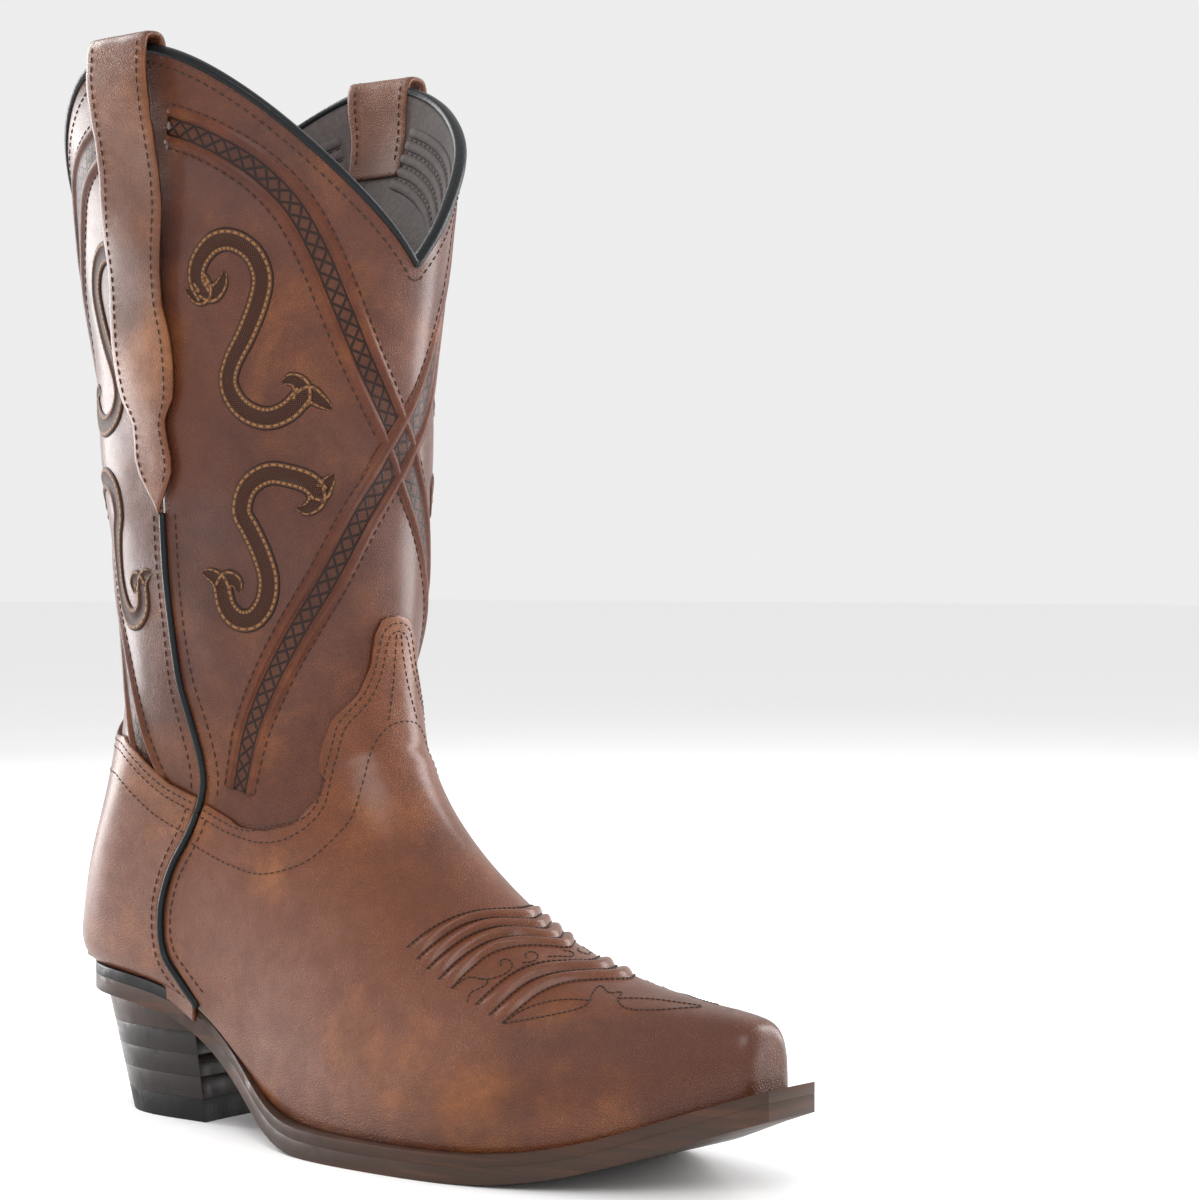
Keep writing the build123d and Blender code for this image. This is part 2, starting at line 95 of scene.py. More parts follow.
def reach(centre, way, far=0.3):
    """Distance from centre to the outer leather along way, or nan."""
    hit = under_leather.ray_cast(centre + way * far, -way, far)
    if hit[0] is None or hit[1].dot(way) < 0.35:
        return np.nan
    return far - hit[3]


def fill_gaps(radius):
    """Missing distances taken from the neighbours round the row."""
    wide = np.arange(radius.shape[1])
    for row in radius:
        known = ~np.isnan(row)
        if known.any() and not known.all():
            row[~known] = np.interp(wide[~known], wide[known], row[known], period=len(row))
    return radius


def soften(radius, passes):
    for _ in range(passes):
        radius = (np.roll(radius, 1, 1) + 2 * radius + np.roll(radius, -1, 1)) / 4
        radius[1:-1] = (radius[:-2] + 2 * radius[1:-1] + radius[2:]) / 4
    return radius


def outward(points, centres):
    """Unit normals of a chart, pointing away from its row centres."""
    down = np.gradient(points, axis=0)
    side = (np.roll(points, -1, 1) - np.roll(points, 1, 1)) / 2
    normal = np.cross(side, down)
    length = np.linalg.norm(normal, axis=2, keepdims=True)
    normal = np.divide(normal, length, out=np.zeros_like(normal), where=length > 1e-12)
    facing = np.sum(normal * (points - centres[:, None, :]), axis=2, keepdims=True)
    normal = np.where(facing < 0, -normal, normal)
    flat = length[..., 0].max(axis=1) < 1e-9
    normal[flat] = np.array([1.0, 0.0, 0.0])
    return normal


def chart_of(centres, forwards, leans, radius):
    """Points and normals of a chart from its row centres, front directions, leans and distances."""
    turn = np.arange(columns) * 2 * pi / columns
    ways = np.cos(turn)[None, :, None] * forwards[:, None, :]
    ways = ways + np.sin(turn)[None, :, None] * np.array([0.0, 1.0, 0.0])
    ways = ways * np.cos(leans)[:, None, None] + np.sin(leans)[:, None, None] * np.array([1.0, 0.0, 0.0])
    points = centres[:, None, :] + ways * radius[..., None]
    return {"points": points, "normals": outward(points, centres), "centres": centres, "forwards": forwards}


def measure_rows(centres, forwards, leans):
    """Leather distances for every row and column."""
    radius = np.full((len(centres), columns), np.nan)
    for i, (centre, forward, lean) in enumerate(zip(centres, forwards, leans)):
        for j in range(columns):
            turn = 2 * pi * j / columns
            way = Vector(forward) * cos(turn) + Vector((0, 1, 0)) * sin(turn)
            way = way * cos(lean) + Vector((1, 0, 0)) * sin(lean)
            radius[i, j] = reach(Vector(centre), way)
    return radius


def top_z(turn):
    """Height of the scalloped top line at an angle round the shaft."""
    return notch_z + (side_z - notch_z) * np.abs(np.sin(turn)) ** 0.95


def top_stretch(turn):
    """How much longer a distance square to the sloping top line is when it is measured straight down."""
    nudge = 0.01
    slope = (top_z(turn + nudge) - top_z(turn - nudge)) / (2 * nudge * 65 * mm)
    return np.sqrt(1 + np.minimum(slope**2, 1.6))


def shaft_rows():
    """Chart of level rows from the ankle to above the top line."""
    heights = np.arange(first_height, 339, 2) * mm
    centres = np.array([(shaft_x, 0, z) for z in heights])
    forwards = np.tile([1.0, 0.0, 0.0], (len(heights), 1))
    leans = np.zeros(len(heights))
    radius = measure_rows(centres, forwards, leans)
    turn = np.arange(columns) * 2 * pi / columns
    for j in range(columns):
        last = int(np.searchsorted(heights, top_z(turn[j]) - 3 * mm)) - 1
        column = radius[:, j]
        if np.isnan(column[last]) or np.isnan(column[last - 14]):
            column[last:] = np.nan
            continue
        slope = (column[last] - column[last - 14]) / 14
        column[last:] = column[last] + slope * np.arange(len(heights) - last)
    radius = soften(fill_gaps(radius), 3)
    wave = np.sin(heights[:, None] * 80 + 2 * np.cos(turn)) * np.sin(3 * turn + heights[:, None] * 40)
    wave = wave + 0.7 * np.sin(heights[:, None] * 33 + 5 * turn + 1.2) * np.sin(2 * turn - 0.6)
    fade = np.clip((heights[:, None] - 0.11) / 0.06, 0.25, 1)
    fade = fade * np.clip((0.34 - heights[:, None]) / 0.06, 0.3, 1)
    radius = radius + wave_deep * wave * fade
    return chart_of(centres, forwards, leans, radius)


def mid_hit(a, b, way):
    """Middle between the leather faces met from a and from b along way."""
    first = closed_foot.ray_cast(a, way)[0]
    last = closed_foot.ray_cast(b, -way)[0]
    return (first + last) / 2


fan_steps = 72


def foot_rows():
    """Chart that starts level above the ankle, fans down over the instep and ends round the toe."""
    centres, forwards, leans = [], [], []
    for z in np.arange(176, 150, -2) * mm:
        middle = mid_hit(Vector((0.2, 0, z)), Vector((-0.4, 0, z)), Vector((-1, 0, 0)))
        centres.append(middle)
        forwards.append((1, 0, 0))
        leans.append(0)
    for step in range(fan_steps + 1):
        angle = radians(90 * step / fan_steps)
        way = Vector((-cos(angle), 0, -sin(angle)))
        start = Vector((pivot_x, 0, pivot_z))
        centres.append(mid_hit(start, start + way * 0.5, way))
        forwards.append(-way)
        leans.append(0)
    for x in np.arange(47, 119, 2) * mm:
        x = min(x, toe_x)
        middle = mid_hit(Vector((x, 0, 0.2)), Vector((x, 0, -0.1)), Vector((0, 0, -1)))
        centres.append(middle)
        forwards.append((0, 0, 1))
        leans.append(0)
    for lean in range(3, 91, 3):
        centres.append(centres[-1])
        forwards.append((0, 0, 1))
        leans.append(radians(lean))
    centres = np.array([tuple(c) for c in centres])
    forwards = np.array([tuple(f) for f in forwards], float)
    leans = np.array(leans)
    for _ in range(3):
        centres[1:-30, :] = (centres[:-31] + 2 * centres[1:-30] + centres[2:-29]) / 4
    radius = soften(fill_gaps(measure_rows(centres, forwards, leans)), 2)
    radius[-1] = radius[-1].mean()
    return chart_of(centres, forwards, leans, radius)


shaft_chart = shaft_rows()
foot_chart = foot_rows()
level_rows = 13
plain_rows = level_rows + fan_steps + 36


def shaft_row(z):
    """Row of the shaft chart at a height."""
    return (z / mm - first_height) / 2


def as_column(turn):
    """Column of a chart at an angle from its front."""
    return turn * columns / (2 * pi)


def find_shaft(p):
    """Row and column of points near the shaft."""
    return shaft_row(p[:, 2]), as_column(np.arctan2(p[:, 1], p[:, 0] - shaft_x))


def find_foot(p):
    """Row and column of points near the foot."""
    x, y, z = p[:, 0], p[:, 1], p[:, 2]
    fan = np.degrees(np.arctan2(pivot_z - z, pivot_x - x)) / 90 * fan_steps
    row = np.where(z > pivot_z, (176 * mm - z) / (2 * mm), level_rows + fan)
    row = np.where((x > pivot_x), level_rows + fan_steps + (x - pivot_x) / (2 * mm), row)
    last = foot_chart["centres"][-1]
    lean = np.degrees(np.arctan2(x - last[0], np.hypot(y - last[1], z - last[2])))
    row = np.where(x > last[0], plain_rows + lean / 3, row)
    row = np.clip(row, 0, len(foot_chart["centres"]) - 1)
    low = np.minimum(row.astype(int), len(foot_chart["centres"]) - 2)
    part = (row - low)[:, None]
    centre = foot_chart["centres"][low] * (1 - part) + foot_chart["centres"][low + 1] * part
    forward = foot_chart["forwards"][low] * (1 - part) + foot_chart["forwards"][low + 1] * part
    away = p - centre
    return row, as_column(np.arctan2(away[:, 1], np.sum(away * forward, axis=1)))


def spline_weights(part):
    """Weights of the four neighbours of a smooth curve."""
    return [
        ((-0.5 * part + 1) * part - 0.5) * part, (1.5 * part - 2.5) * part * part + 1,
        ((-1.5 * part + 2) * part + 0.5) * part, (0.5 * part - 0.5) * part * part,
    ]


def on_chart(chart, row, column, height=0.0):
    """Points and normals at rows and columns of a chart, raised by height."""
    points, normals = chart["points"], chart["normals"]
    row = np.clip(row, 0, len(points) - 1.001)
    low, left = np.floor(row).astype(int), np.floor(column).astype(int)
    down, side = row - low, column - left
    place = np.zeros((len(row), 3))
    normal = np.zeros((len(row), 3))
    for a, across in enumerate(spline_weights(down)):
        i = np.clip(low + a - 1, 0, len(points) - 1)
        for b, along in enumerate(spline_weights(side)):
            j = (left + b - 1) % columns
            weight = (across * along)[:, None]
            place += points[i, j] * weight
            normal += normals[i, j] * weight
    normal /= np.linalg.norm(normal, axis=1, keepdims=True)
    return place + normal * np.reshape(height, (-1, 1)) * np.ones((len(row), 1)), normal


def lay(kind, points, height=0.0):
    """Points moved onto the leather of the shaft or foot at a height."""
    if kind == "shaft":
        return on_chart(shaft_chart, *find_shaft(points), height)
    return on_chart(foot_chart, *find_foot(points), height)


# ---------------------------------------------------------------- lines on the leather
def curve(points, spacing):
    """Smooth line through points, cut at an even spacing."""
    points = np.array(points, float)
    dense = []
    padded = np.vstack([2 * points[0] - points[1], points, 2 * points[-1] - points[-2]])
    for i in range(len(points) - 1):
        part = np.linspace(0, 1, 24, endpoint=False)
        weights = spline_weights(part)
        dense.append(sum(w[:, None] * padded[i + k] for k, w in enumerate(weights)))
    dense = np.vstack(dense + [points[-1:]])
    return even(dense, spacing)


def even(dense, spacing):
    """Line cut again at an even spacing."""
    run = np.concatenate([[0], np.cumsum(np.linalg.norm(np.diff(dense[:, :3], axis=0), axis=1))])
    count = max(int(round(run[-1] / spacing)), 2)
    at = np.linspace(0, run[-1], count + 1)
    return np.stack([np.interp(at, run, dense[:, k]) for k in range(dense.shape[1])], axis=1)


def directions(line):
    way = np.gradient(line, axis=0)
    return way / np.maximum(np.linalg.norm(way, axis=1, keepdims=True), 1e-12)


def beside(kind, line, away, height=0.0):
    """Line moved sideways on the leather."""
    _, normal = lay(kind, line)
    side = np.cross(normal, directions(line))
    return lay(kind, line + side * np.reshape(away, (-1, 1)), height)


def side_point(x, z, side):
    """Leather point seen from the side, side -1 outer or 1 inner."""
    for nudge in (0, 1.5, -1.5, 3, -3, 5):
        start = Vector((x + nudge * mm, side * 0.2, z))
        hit = under_leather.ray_cast(start, Vector((0, -side, 0)), 0.198)
        if hit[0] is not None and abs(hit[1].y) > 0.4:
            return np.array((x, hit[0].y, z))
    return np.array((x, side * 0.03, z))


def end_point(y, z, face):
    """Leather point seen from the front (face 1) or the back (face -1)."""
    hit = under_leather.ray_cast(Vector((shaft_x + face * 0.2, y, z)), Vector((-face, 0, 0)))[0]
    return np.array(hit)


def side_path(pairs, side):
    return [side_point((x * mm) + slide, z * mm, side) for x, z in pairs]


def shaft_arcs():
    """Arc length along every shaft row, from the front middle and from the back middle."""
    points = shaft_chart["points"]
    loop = np.concatenate([points, points[:, :1]], axis=1)
    steps = np.linalg.norm(np.diff(loop, axis=1), axis=2)
    half = columns // 2
    front = np.concatenate([np.zeros((len(points), 1)), np.cumsum(steps[:, :half], axis=1)], axis=1)
    back = np.concatenate([np.zeros((len(points), 1)), np.cumsum(steps[:, half - 1 :: -1], axis=1)], axis=1)
    return front, back


front_arc, back_arc = shaft_arcs()


def quarter_points(pairs, face, side):
    """Pattern points (arc from the middle, height) laid on one quarter of the shaft."""
    places = []
    for arc, z in pairs:
        row = shaft_row(z * mm)
        table = front_arc if face > 0 else back_arc
        low = int(row)
        lengths = table[low] * (1 - row + low) + table[low + 1] * (row - low)
        column = np.interp(abs(arc) * mm, lengths, np.arange(len(lengths)))
        hand = side if arc >= 0 else -side
        column = column if face > 0 else columns / 2 - column
        places.append(on_chart(shaft_chart, np.array([row]), np.array([column * hand]))[0][0])
    return np.array(places)


# ---------------------------------------------------------------- mesh helpers
def finish_piece(name, mesh, material, nodes=()):
    obj = bpy.data.objects.new(name, mesh)
    bpy.context.collection.objects.link(obj)
    mesh.materials.append(material)
    mesh.shade_smooth()
    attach(obj, "root")
    if nodes:
        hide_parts(*nodes)
    return obj


def laid_grid(name, across, along, place, closed=False):
    """Grid of across by along cells; place gives points, outward normals and map coordinates."""
    bm = bmesh.new()
    bm.loops.layers.uv.new("UVMap")
    bmesh.ops.create_grid(bm, x_segments=across, y_segments=along, size=1, calc_uvs=True)
    mesh = bpy.data.meshes.new(name)
    bm.to_mesh(mesh)
    bm.free()
    count = len(mesh.vertices)
    flat = np.zeros(count * 3)
    mesh.vertices.foreach_get("co", flat)
    flat = flat.reshape(-1, 3)
    places, normals, maps = place((flat[:, 0] + 1) / 2, (flat[:, 1] + 1) / 2)
    mesh.vertices.foreach_set("co", places.ravel())
    corners = np.zeros(len(mesh.loops), int)
    mesh.loops.foreach_get("vertex_index", corners)
    mesh.uv_layers[0].data.foreach_set("uv", maps[corners].ravel())
    mesh.update()
    faces = np.zeros(len(mesh.polygons) * 3)
    mesh.polygons.foreach_get("normal", faces)
    first = np.zeros(len(mesh.polygons), int)
    mesh.polygons.foreach_get("loop_start", first)
    facing = np.sum(faces.reshape(-1, 3) * normals[corners[first]])
    bm = bmesh.new()
    bm.from_mesh(mesh)
    if closed:
        bmesh.ops.remove_doubles(bm, verts=bm.verts, dist=0.00002)
        bmesh.ops.recalc_face_normals(bm, faces=bm.faces)
    elif facing < 0:
        bmesh.ops.reverse_faces(bm, faces=bm.faces)
    bm.to_mesh(mesh)
    bm.free()
    return mesh


def joined(mesh, fill=False):
    """Mesh with its touching points merged, its open ends filled if asked."""
    bm = bmesh.new()
    bm.from_mesh(mesh)
    bmesh.ops.remove_doubles(bm, verts=bm.verts, dist=0.00001)
    if fill:
        bmesh.ops.edgeloop_fill(bm, edges=[e for e in bm.edges if e.is_boundary])
        bmesh.ops.recalc_face_normals(bm, faces=bm.faces)
    bm.to_mesh(mesh)
    bm.free()
    return mesh


def thicken(obj, thickness):
    wall = obj.modifiers.new("wall", "SOLIDIFY")
    wall.thickness = thickness
    wall.offset = -1
    wall.use_rim = True
    return obj


def strip(name, kind, line, profile, material, widths=None, rises=1.0, lift=0.0, nodes=()):
    """Closed strip along a line on the leather; profile is a ring of (across, height) in mm."""
    ring = np.array(list(profile) + [profile[0]]) * mm
    line = np.vstack([line[:1], line, line[-1:]])
    scale = np.ones(len(line)) if widths is None else np.concatenate([widths[:1], widths, widths[-1:]])
    scale = scale.copy()
    scale[0] = scale[-1] = 0
    _, normal = lay(kind, line[1:-1])
    side = np.cross(normal, directions(line[1:-1]))
    side = np.vstack([side[:1], side, side[-1:]])
    run = np.concatenate([[0], np.cumsum(np.linalg.norm(np.diff(line, axis=0), axis=1))])
    raised = np.broadcast_to(lift, (len(line) - 2,))
    raised = np.concatenate([raised[:1], raised, raised[-1:]])
    rises = np.broadcast_to(rises, (len(line) - 2,))
    rises = np.concatenate([rises[:1], rises, rises[-1:]])

    def place(u, v):
        k = np.rint(u * (len(ring) - 1)).astype(int)
        i = np.rint(v * (len(line) - 1)).astype(int)
        across = ring[k, 0] * scale[i]
        height = ring[k, 1] * np.minimum(scale[i] * 1.5, 1) * rises[i] + raised[i]
        points, normals = lay(kind, line[i] + side[i] * across[:, None], height)
        return points, normals, np.stack([ring[k, 0], run[i]], axis=1) / mm

    mesh = laid_grid(name, len(ring) - 1, len(line) - 1, place, closed=True)
    return finish_piece(name, mesh, material, nodes)


def stitch_shape():
    """One stitch: a small flattened bead, its long way along X."""
    bm = bmesh.new()
    bmesh.ops.create_uvsphere(bm, u_segments=6, v_segments=4, radius=1)
    bmesh.ops.rotate(bm, verts=bm.verts, matrix=Matrix.Rotation(pi / 2, 3, "Y"))
    mesh = bpy.data.meshes.new("stitch_shape")
    bm.to_mesh(mesh)
    bm.free()
    return mesh


one_stitch = stitch_shape()


def seam(kind, line, height):
    """Line on the leather with its normals beside it, ready for stitches."""
    return np.hstack(lay(kind, line, height))


def stitches(name, rows, material, pitch=2.7, length=2.0, wide=0.62):
    """Stitches along rows of points and normals."""
    bm = bmesh.new()
    for row in rows:
        row = even(row, pitch * mm)
        row = (row[1:] + row[:-1]) / 2
        ways = directions(row[:, :3])
        for point, normal, way in zip(row[:, :3], row[:, 3:], ways):
            cross = np.cross(normal, way)
            axes = np.stack([way * length / 2, cross * wide / 2, normal * wide * 0.42], axis=1) * mm
            bead = one_stitch.copy()
            bead.transform(Matrix.Translation(point) @ Matrix(axes.tolist()).to_4x4())
            bm.from_mesh(bead)
            bpy.data.meshes.remove(bead)
    mesh = bpy.data.meshes.new(name)
    bmesh.ops.recalc_face_normals(bm, faces=bm.faces)
    bm.to_mesh(mesh)
    bm.free()
    return finish_piece(name, mesh, material)


# ---------------------------------------------------------------- upper pieces
def seam_turn(z, side):
    """Column angle of the side seam at a height of the shaft."""
    line = np.array(seam_line[::-1]) * mm
    x = np.interp(z, line[:, 1], line[:, 0]) + slide
    points = shaft_chart["points"]
    rows = points[np.clip(np.rint(shaft_row(z)).astype(int), 0, len(points) - 1)]
    turns = np.zeros(len(z))
    half = columns // 2
    for i, row in enumerate(rows):
        ring = row[: half + 1] if side > 0 else np.vstack([row[:1], row[: half - 1 : -1]])
        turns[i] = np.interp(-x[i], -ring[:, 0], np.arange(len(ring))) * 2 * pi / columns
    return turns


def shaft_panel(name, face, low_z, node, material, drop=0.0, height=0.0, grid=(150, 170)):
    """Front or back panel of a shaft layer, from seam to seam and from low_z to the top line."""
    levels = np.linspace(low_z, 0.3335, 200)
    seams = {side: seam_turn(levels, side) for side in (-1, 1)}

    def place(u, v):
        hand = np.where(u < 0.5, -1, 1)
        part = np.abs(u * 2 - 1)
        z = np.full(len(u), low_z)
        for _ in range(4):
            edge = np.where(hand < 0, np.interp(z, levels, seams[-1]), np.interp(z, levels, seams[1]))
            if face < 0:
                edge = pi - edge
            turn = hand * part * edge
            if face < 0:
                turn = pi - turn
            z = low_z + (top_z(turn) - drop - low_z) * v
        places, normals = on_chart(shaft_chart, shaft_row(z), as_column(turn), height)
        return places, normals, np.stack([u, v], axis=1)

    mesh = laid_grid(name, grid[0], grid[1], place)
    return finish_piece(name, mesh, material, node[0])


def vamp_edge(side):
    """Rear edge of the vamp on one side, from the sole up to the tongue."""
    seam = side_path([p for p in seam_line[::-1] if p[1] < 101.5], side)
    seam = beside("foot", curve(seam, 2 * mm), side * 1.3 * mm)[0]
    wing = side_path(wing_line, side)
    tongue = [end_point(side * y * mm, z * mm, 1) for y, z in tongue_line]
    return [seam, np.array(wing), np.array(tongue)]


def feather_turn(side):
    """Column where the upper meets the sole, for every foot row."""
    line = np.array(sole_line) * mm
    points = foot_chart["points"]
    half = columns // 2
    turns = []
    for row in points:
        ring = row[: half + 1] if side > 0 else np.vstack([row[:1], row[: half - 1 : -1]])
        under = ring[:, 2] < np.interp(ring[:, 0], line[:, 0] + slide, line[:, 1]) - 0.4 * mm
        under[: columns // 5] = False
        turns.append(np.argmax(under) if under.any() else half)
    return np.array(turns, float)


feathers = {side: feather_turn(side) for side in (-1, 1)}


def edge_fall(distance):
    """Leather rounds down over its last millimetre at a cut edge."""
    near = np.clip(1 - distance / (1.2 * mm), 0, 1)
    return -0.45 * mm * near**2


def vamp_piece(material):
    """Vamp and tongue in one cut, open to the rear and closed round the toe."""
    rims = {}
    wides = {}
    last = len(foot_chart["points"]) - 1
    for side in (-1, 1):
        row, column = find_foot(even(np.vstack(vamp_edge(side)), 1 * mm)[::-1])
        climb = 0.05 * np.arange(len(column))
        column = np.maximum.accumulate(column * side - climb) + climb
        rims[side] = (row, column)
        wide = feathers[side].copy()
        first = int(row[-1])
        wide[: first + 2] = column[-1]
        wide[first + 2 : plain_rows] = np.minimum(wide[first + 2 : plain_rows] + 2.0, 84)
        for _ in range(3):
            wide[first + 2 : -1] = (wide[first + 1 : -2] + wide[first + 2 : -1] * 2 + wide[first + 3 :]) / 4
        wides[side] = wide

    def place(u, v):
        hand = np.where(u < 0.5, -1, 1)
        part = np.abs(u * 2 - 1)
        row = np.zeros(len(u))
        column = np.zeros(len(u))
        gap = np.zeros(len(u))
        for side in (-1, 1):
            mine = hand == side
            at = np.linspace(0, 1, len(rims[side][0]))
            first_row = np.interp(part[mine], at, rims[side][0])
            first_column = np.interp(part[mine], at, rims[side][1])
            steps = np.interp(v[mine], [0, 0.008, 0.016, 0.03, 1], [0, 0.0012, 0.004, 0.012, 1])
            run = (last - first_row) * steps
            row[mine] = first_row + run
            blend = np.clip((row[mine] - np.maximum(first_row, 44)) / 45, 0, 1)
            blend = blend * blend * (3 - 2 * blend)
            spread = part[mine] * np.interp(row[mine], np.arange(last + 1), wides[side])
            column[mine] = side * (first_column * (1 - blend) + spread * blend)
            gap[mine] = run * 1.6 * mm
        places, normals = on_chart(foot_chart, row, column, cover + edge_fall(gap))
        return places, normals, np.stack([u, v], axis=1)

    mesh = joined(laid_grid("vamp_leather", 240, 165, place))
    piece = finish_piece("vamp_leather", mesh, material, ("vamp",))
    return thicken(piece, 1.45 * mm)


def counter_piece(material):
    """Heel counter round the back of the foot, with its pointed tab."""
    edges = {}
    for side in (-1, 1):
        seam = side_path([p for p in seam_line if p[1] < 103.5], side)
        seam = beside("foot", curve(seam, 2 * mm), side * 1.3 * mm)[0]
        top = side_path(counter_line, side) + [end_point(side * y * mm, z * mm, -1) for y, z in tab_line]
        edges[side] = {"seam": find_foot(even(seam, 1 * mm)), "top": find_foot(even(np.array(top), 1 * mm))}
    heel_low = int(np.argmax(feathers[1] < columns / 2 - 0.5))

    def along(line, part):
        at = np.linspace(0, 1, len(line))
        return np.interp(part, at, line)

    def sweep(side, line):
        column = line[1] * side
        return line[0], np.where(column < 0, column + columns, column)

    half = columns / 2
    rims = {}
    for side in (-1, 1):
        seam_row, seam_col = sweep(side, edges[side]["seam"])
        top_row, top_col = sweep(side, edges[side]["top"])
        low_rows = np.linspace(seam_row[-1], heel_low + 0.4, 60)
        low_cols = np.interp(low_rows, np.arange(len(feathers[side])), feathers[side]) + 1.5
        low_cols = np.minimum(np.maximum(low_cols, seam_col[-1]), half)
        low_cols[-1] = half
        rims[side] = {
            "seam": (seam_row, seam_col),
            "top": (top_row, np.minimum(top_col, half)),
            "low": (low_rows, low_cols),
        }

    def place(u, v):
        side = np.where(u < 0.5, -1, 1)
        part = 1 - np.abs(u * 2 - 1)
        row = np.zeros(len(u))
        column = np.zeros(len(u))
        for hand in (-1, 1):
            mine = side == hand
            rim = rims[hand]
            p = part[mine]
            q = np.interp(v[mine], [0, 0.012, 0.03, 0.95, 1], [0, 0.004, 0.015, 0.965, 0.965])
            for k, out in ((0, row), (1, column)):
                top, low = along(rim["top"][k], p), along(rim["low"][k], p)
                seam = along(rim["seam"][k], q)
                tail = rim["top"][k][-1] * (1 - q) + rim["low"][k][-1] * q
                mixed = top * (1 - q) + low * q + seam * (1 - p) + tail * p
                corners = (rim["top"][k][0] * (1 - p) * (1 - q) + rim["top"][k][-1] * p * (1 - q)
                           + rim["low"][k][0] * (1 - p) * q + rim["low"][k][-1] * p * q)
                out[mine] = mixed - corners
        column = np.where(side < 0, -column, column)
        height = cover + edge_fall(v * 85 * mm)
        places, normals = on_chart(foot_chart, row, column, height)
        rand_top = np.interp(places[:, 0] - slide, line[:, 0], line[:, 1]) - 3.2 * mm
        skirt = np.clip((v - 0.95) / 0.05, 0, 1) * np.minimum(rand_top - places[:, 2], 0)
        places[:, 2] += skirt
        return places, normals, np.stack([u, v], axis=1)

    line = np.array(sole_line) * mm
    mesh = laid_grid("counter_leather", 180, 80, place)
    piece = finish_piece("counter_leather", mesh, material, ("heel_counter",))
    return thicken(piece, 1.45 * mm)


def binding(name, face, node, material):
    """Black edge binding folded over the top line of one panel."""
    ring = [
        (1.9, 0.1), (1.8, 0.5), (1.0, 0.75), (0.2, 0.7), (-0.4, 0.1), (-0.7, -1.3), (-0.4, -2.7), (0.2, -3.3),
        (1.0, -3.4), (1.8, -3.2), (1.9, -2.8), (0.8, -1.4),
    ]
    ring = np.array(ring + ring[:1]) * mm
    edge = {side: seam_turn(np.array([0.331]), side)[0] for side in (-1, 1)}
    start, end = (-edge[-1], edge[1]) if face > 0 else (edge[1], 2 * pi - edge[-1])

    def place(u, v):
        k = np.rint(u * (len(ring) - 1)).astype(int)
        turn = start + (end - start) * v
        z = top_z(turn) - ring[k, 0] * top_stretch(turn)
        places, normals = on_chart(shaft_chart, shaft_row(z), as_column(turn), ring[k, 1])
        return places, normals, np.stack([u, v], axis=1)

    mesh = joined(laid_grid(name, len(ring) - 1, 240, place), fill=True)
    return finish_piece(name, mesh, material, node)


strap_sides = [
    (190.5, -67.2, -67.0), (194, -69.2, -65.6), (198, -72.5, -62.9), (203, -76.6, -60.2), (208, -78.9, -60.2),
    (214, -79.2, -61.9), (219, -79.6, -63.0), (222, -82.0, -61.8), (226, -86.1, -60.0), (231, -88.6, -59.9),
    (238, -89.8, -60.2), (245, -90.1, -60.9), (255, -89.2, -62.8), (265, -87.1, -61.5), (275, -85.0, -59.0),
    (285, -81.9, -56.0), (295, -78.9, -53.6), (305, -77.2, -52.0), (315, -77.4, -51.6), (325, -79.3, -52.4),
    (345, -81.0, -52.6),
]


def strap_route():
    """Middle line of a pull strap, over the top and down inside: height, distance from the leather."""
    outer = [
        (190.5, 2.5), (196, 2.6), (205, 2.7), (220, 2.75), (230, 2.8), (240, 3.3), (250, 3.9), (260, 4.5),
        (270, 5.2), (280, 6.0), (290, 7.0), (300, 7.9), (310, 8.4), (320, 7.8), (328, 6.6), (332.2, 5.8),
    ]
    fold = [(334.6, 4.7), (336.0, 3.2), (336.4, 0.8), (336.3, -1.6), (335.4, -3.0), (333.0, -3.7)]
    inner = [(328, -3.8), (320, -3.7), (314, -3.7), (308, -3.7), (303, -3.7)]
    return outer + fold + inner


strap_run = curve([(0, z, h) for z, h in strap_route()], 1.6)
strap_limits = np.array(strap_sides)


def strap_surface(side, part, step, rise=0.0):
    """Points and normals on the face of a pull strap; part runs across it, step along it."""
    z = np.interp(step, np.arange(len(strap_run)), strap_run[:, 1])
    height = np.interp(step, np.arange(len(strap_run)), strap_run[:, 2])
    back = np.interp(z, strap_limits[:, 0], strap_limits[:, 1])
    front = np.interp(z, strap_limits[:, 0], strap_limits[:, 2])
    goal = (back + (front - back) * part) * mm + slide
    x = goal.copy()
    y = np.full(len(x), side * 0.05)
    for _ in range(6):
        column = as_column(np.arctan2(y, x - shaft_x))
        points, normals = on_chart(shaft_chart, shaft_row(z * mm), column, 0.0)
        y = points[:, 1]
        x = x + (goal - points[:, 0]) * 0.9
    level = normals.copy()
    level[:, 2] = 0
    level /= np.linalg.norm(level, axis=1, keepdims=True)
    slack = 0.45 * np.sin(z / 8 + side) * np.sin(part * pi) * np.clip((z - 235) / 40, 0, 1)
    slack = slack * (step < len(strap_run) * 0.62)
    up = np.interp(step, np.arange(len(strap_run)), np.gradient(strap_run[:, 1]))
    out = np.interp(step, np.arange(len(strap_run)), np.gradient(strap_run[:, 2]))
    size = np.hypot(up, out)
    facing = level * (up / size)[:, None] - np.array([0, 0, 1.0]) * (out / size)[:, None]
    edge = np.minimum(part, 1 - part) * (front - back)
    turned = np.clip(1 - edge / 1.2, 0, 1) ** 2 * 0.45
    lift = (rise / mm - turned) * mm
    return points + level * ((height + slack) * mm)[:, None] + facing * lift[:, None], facing, front - back


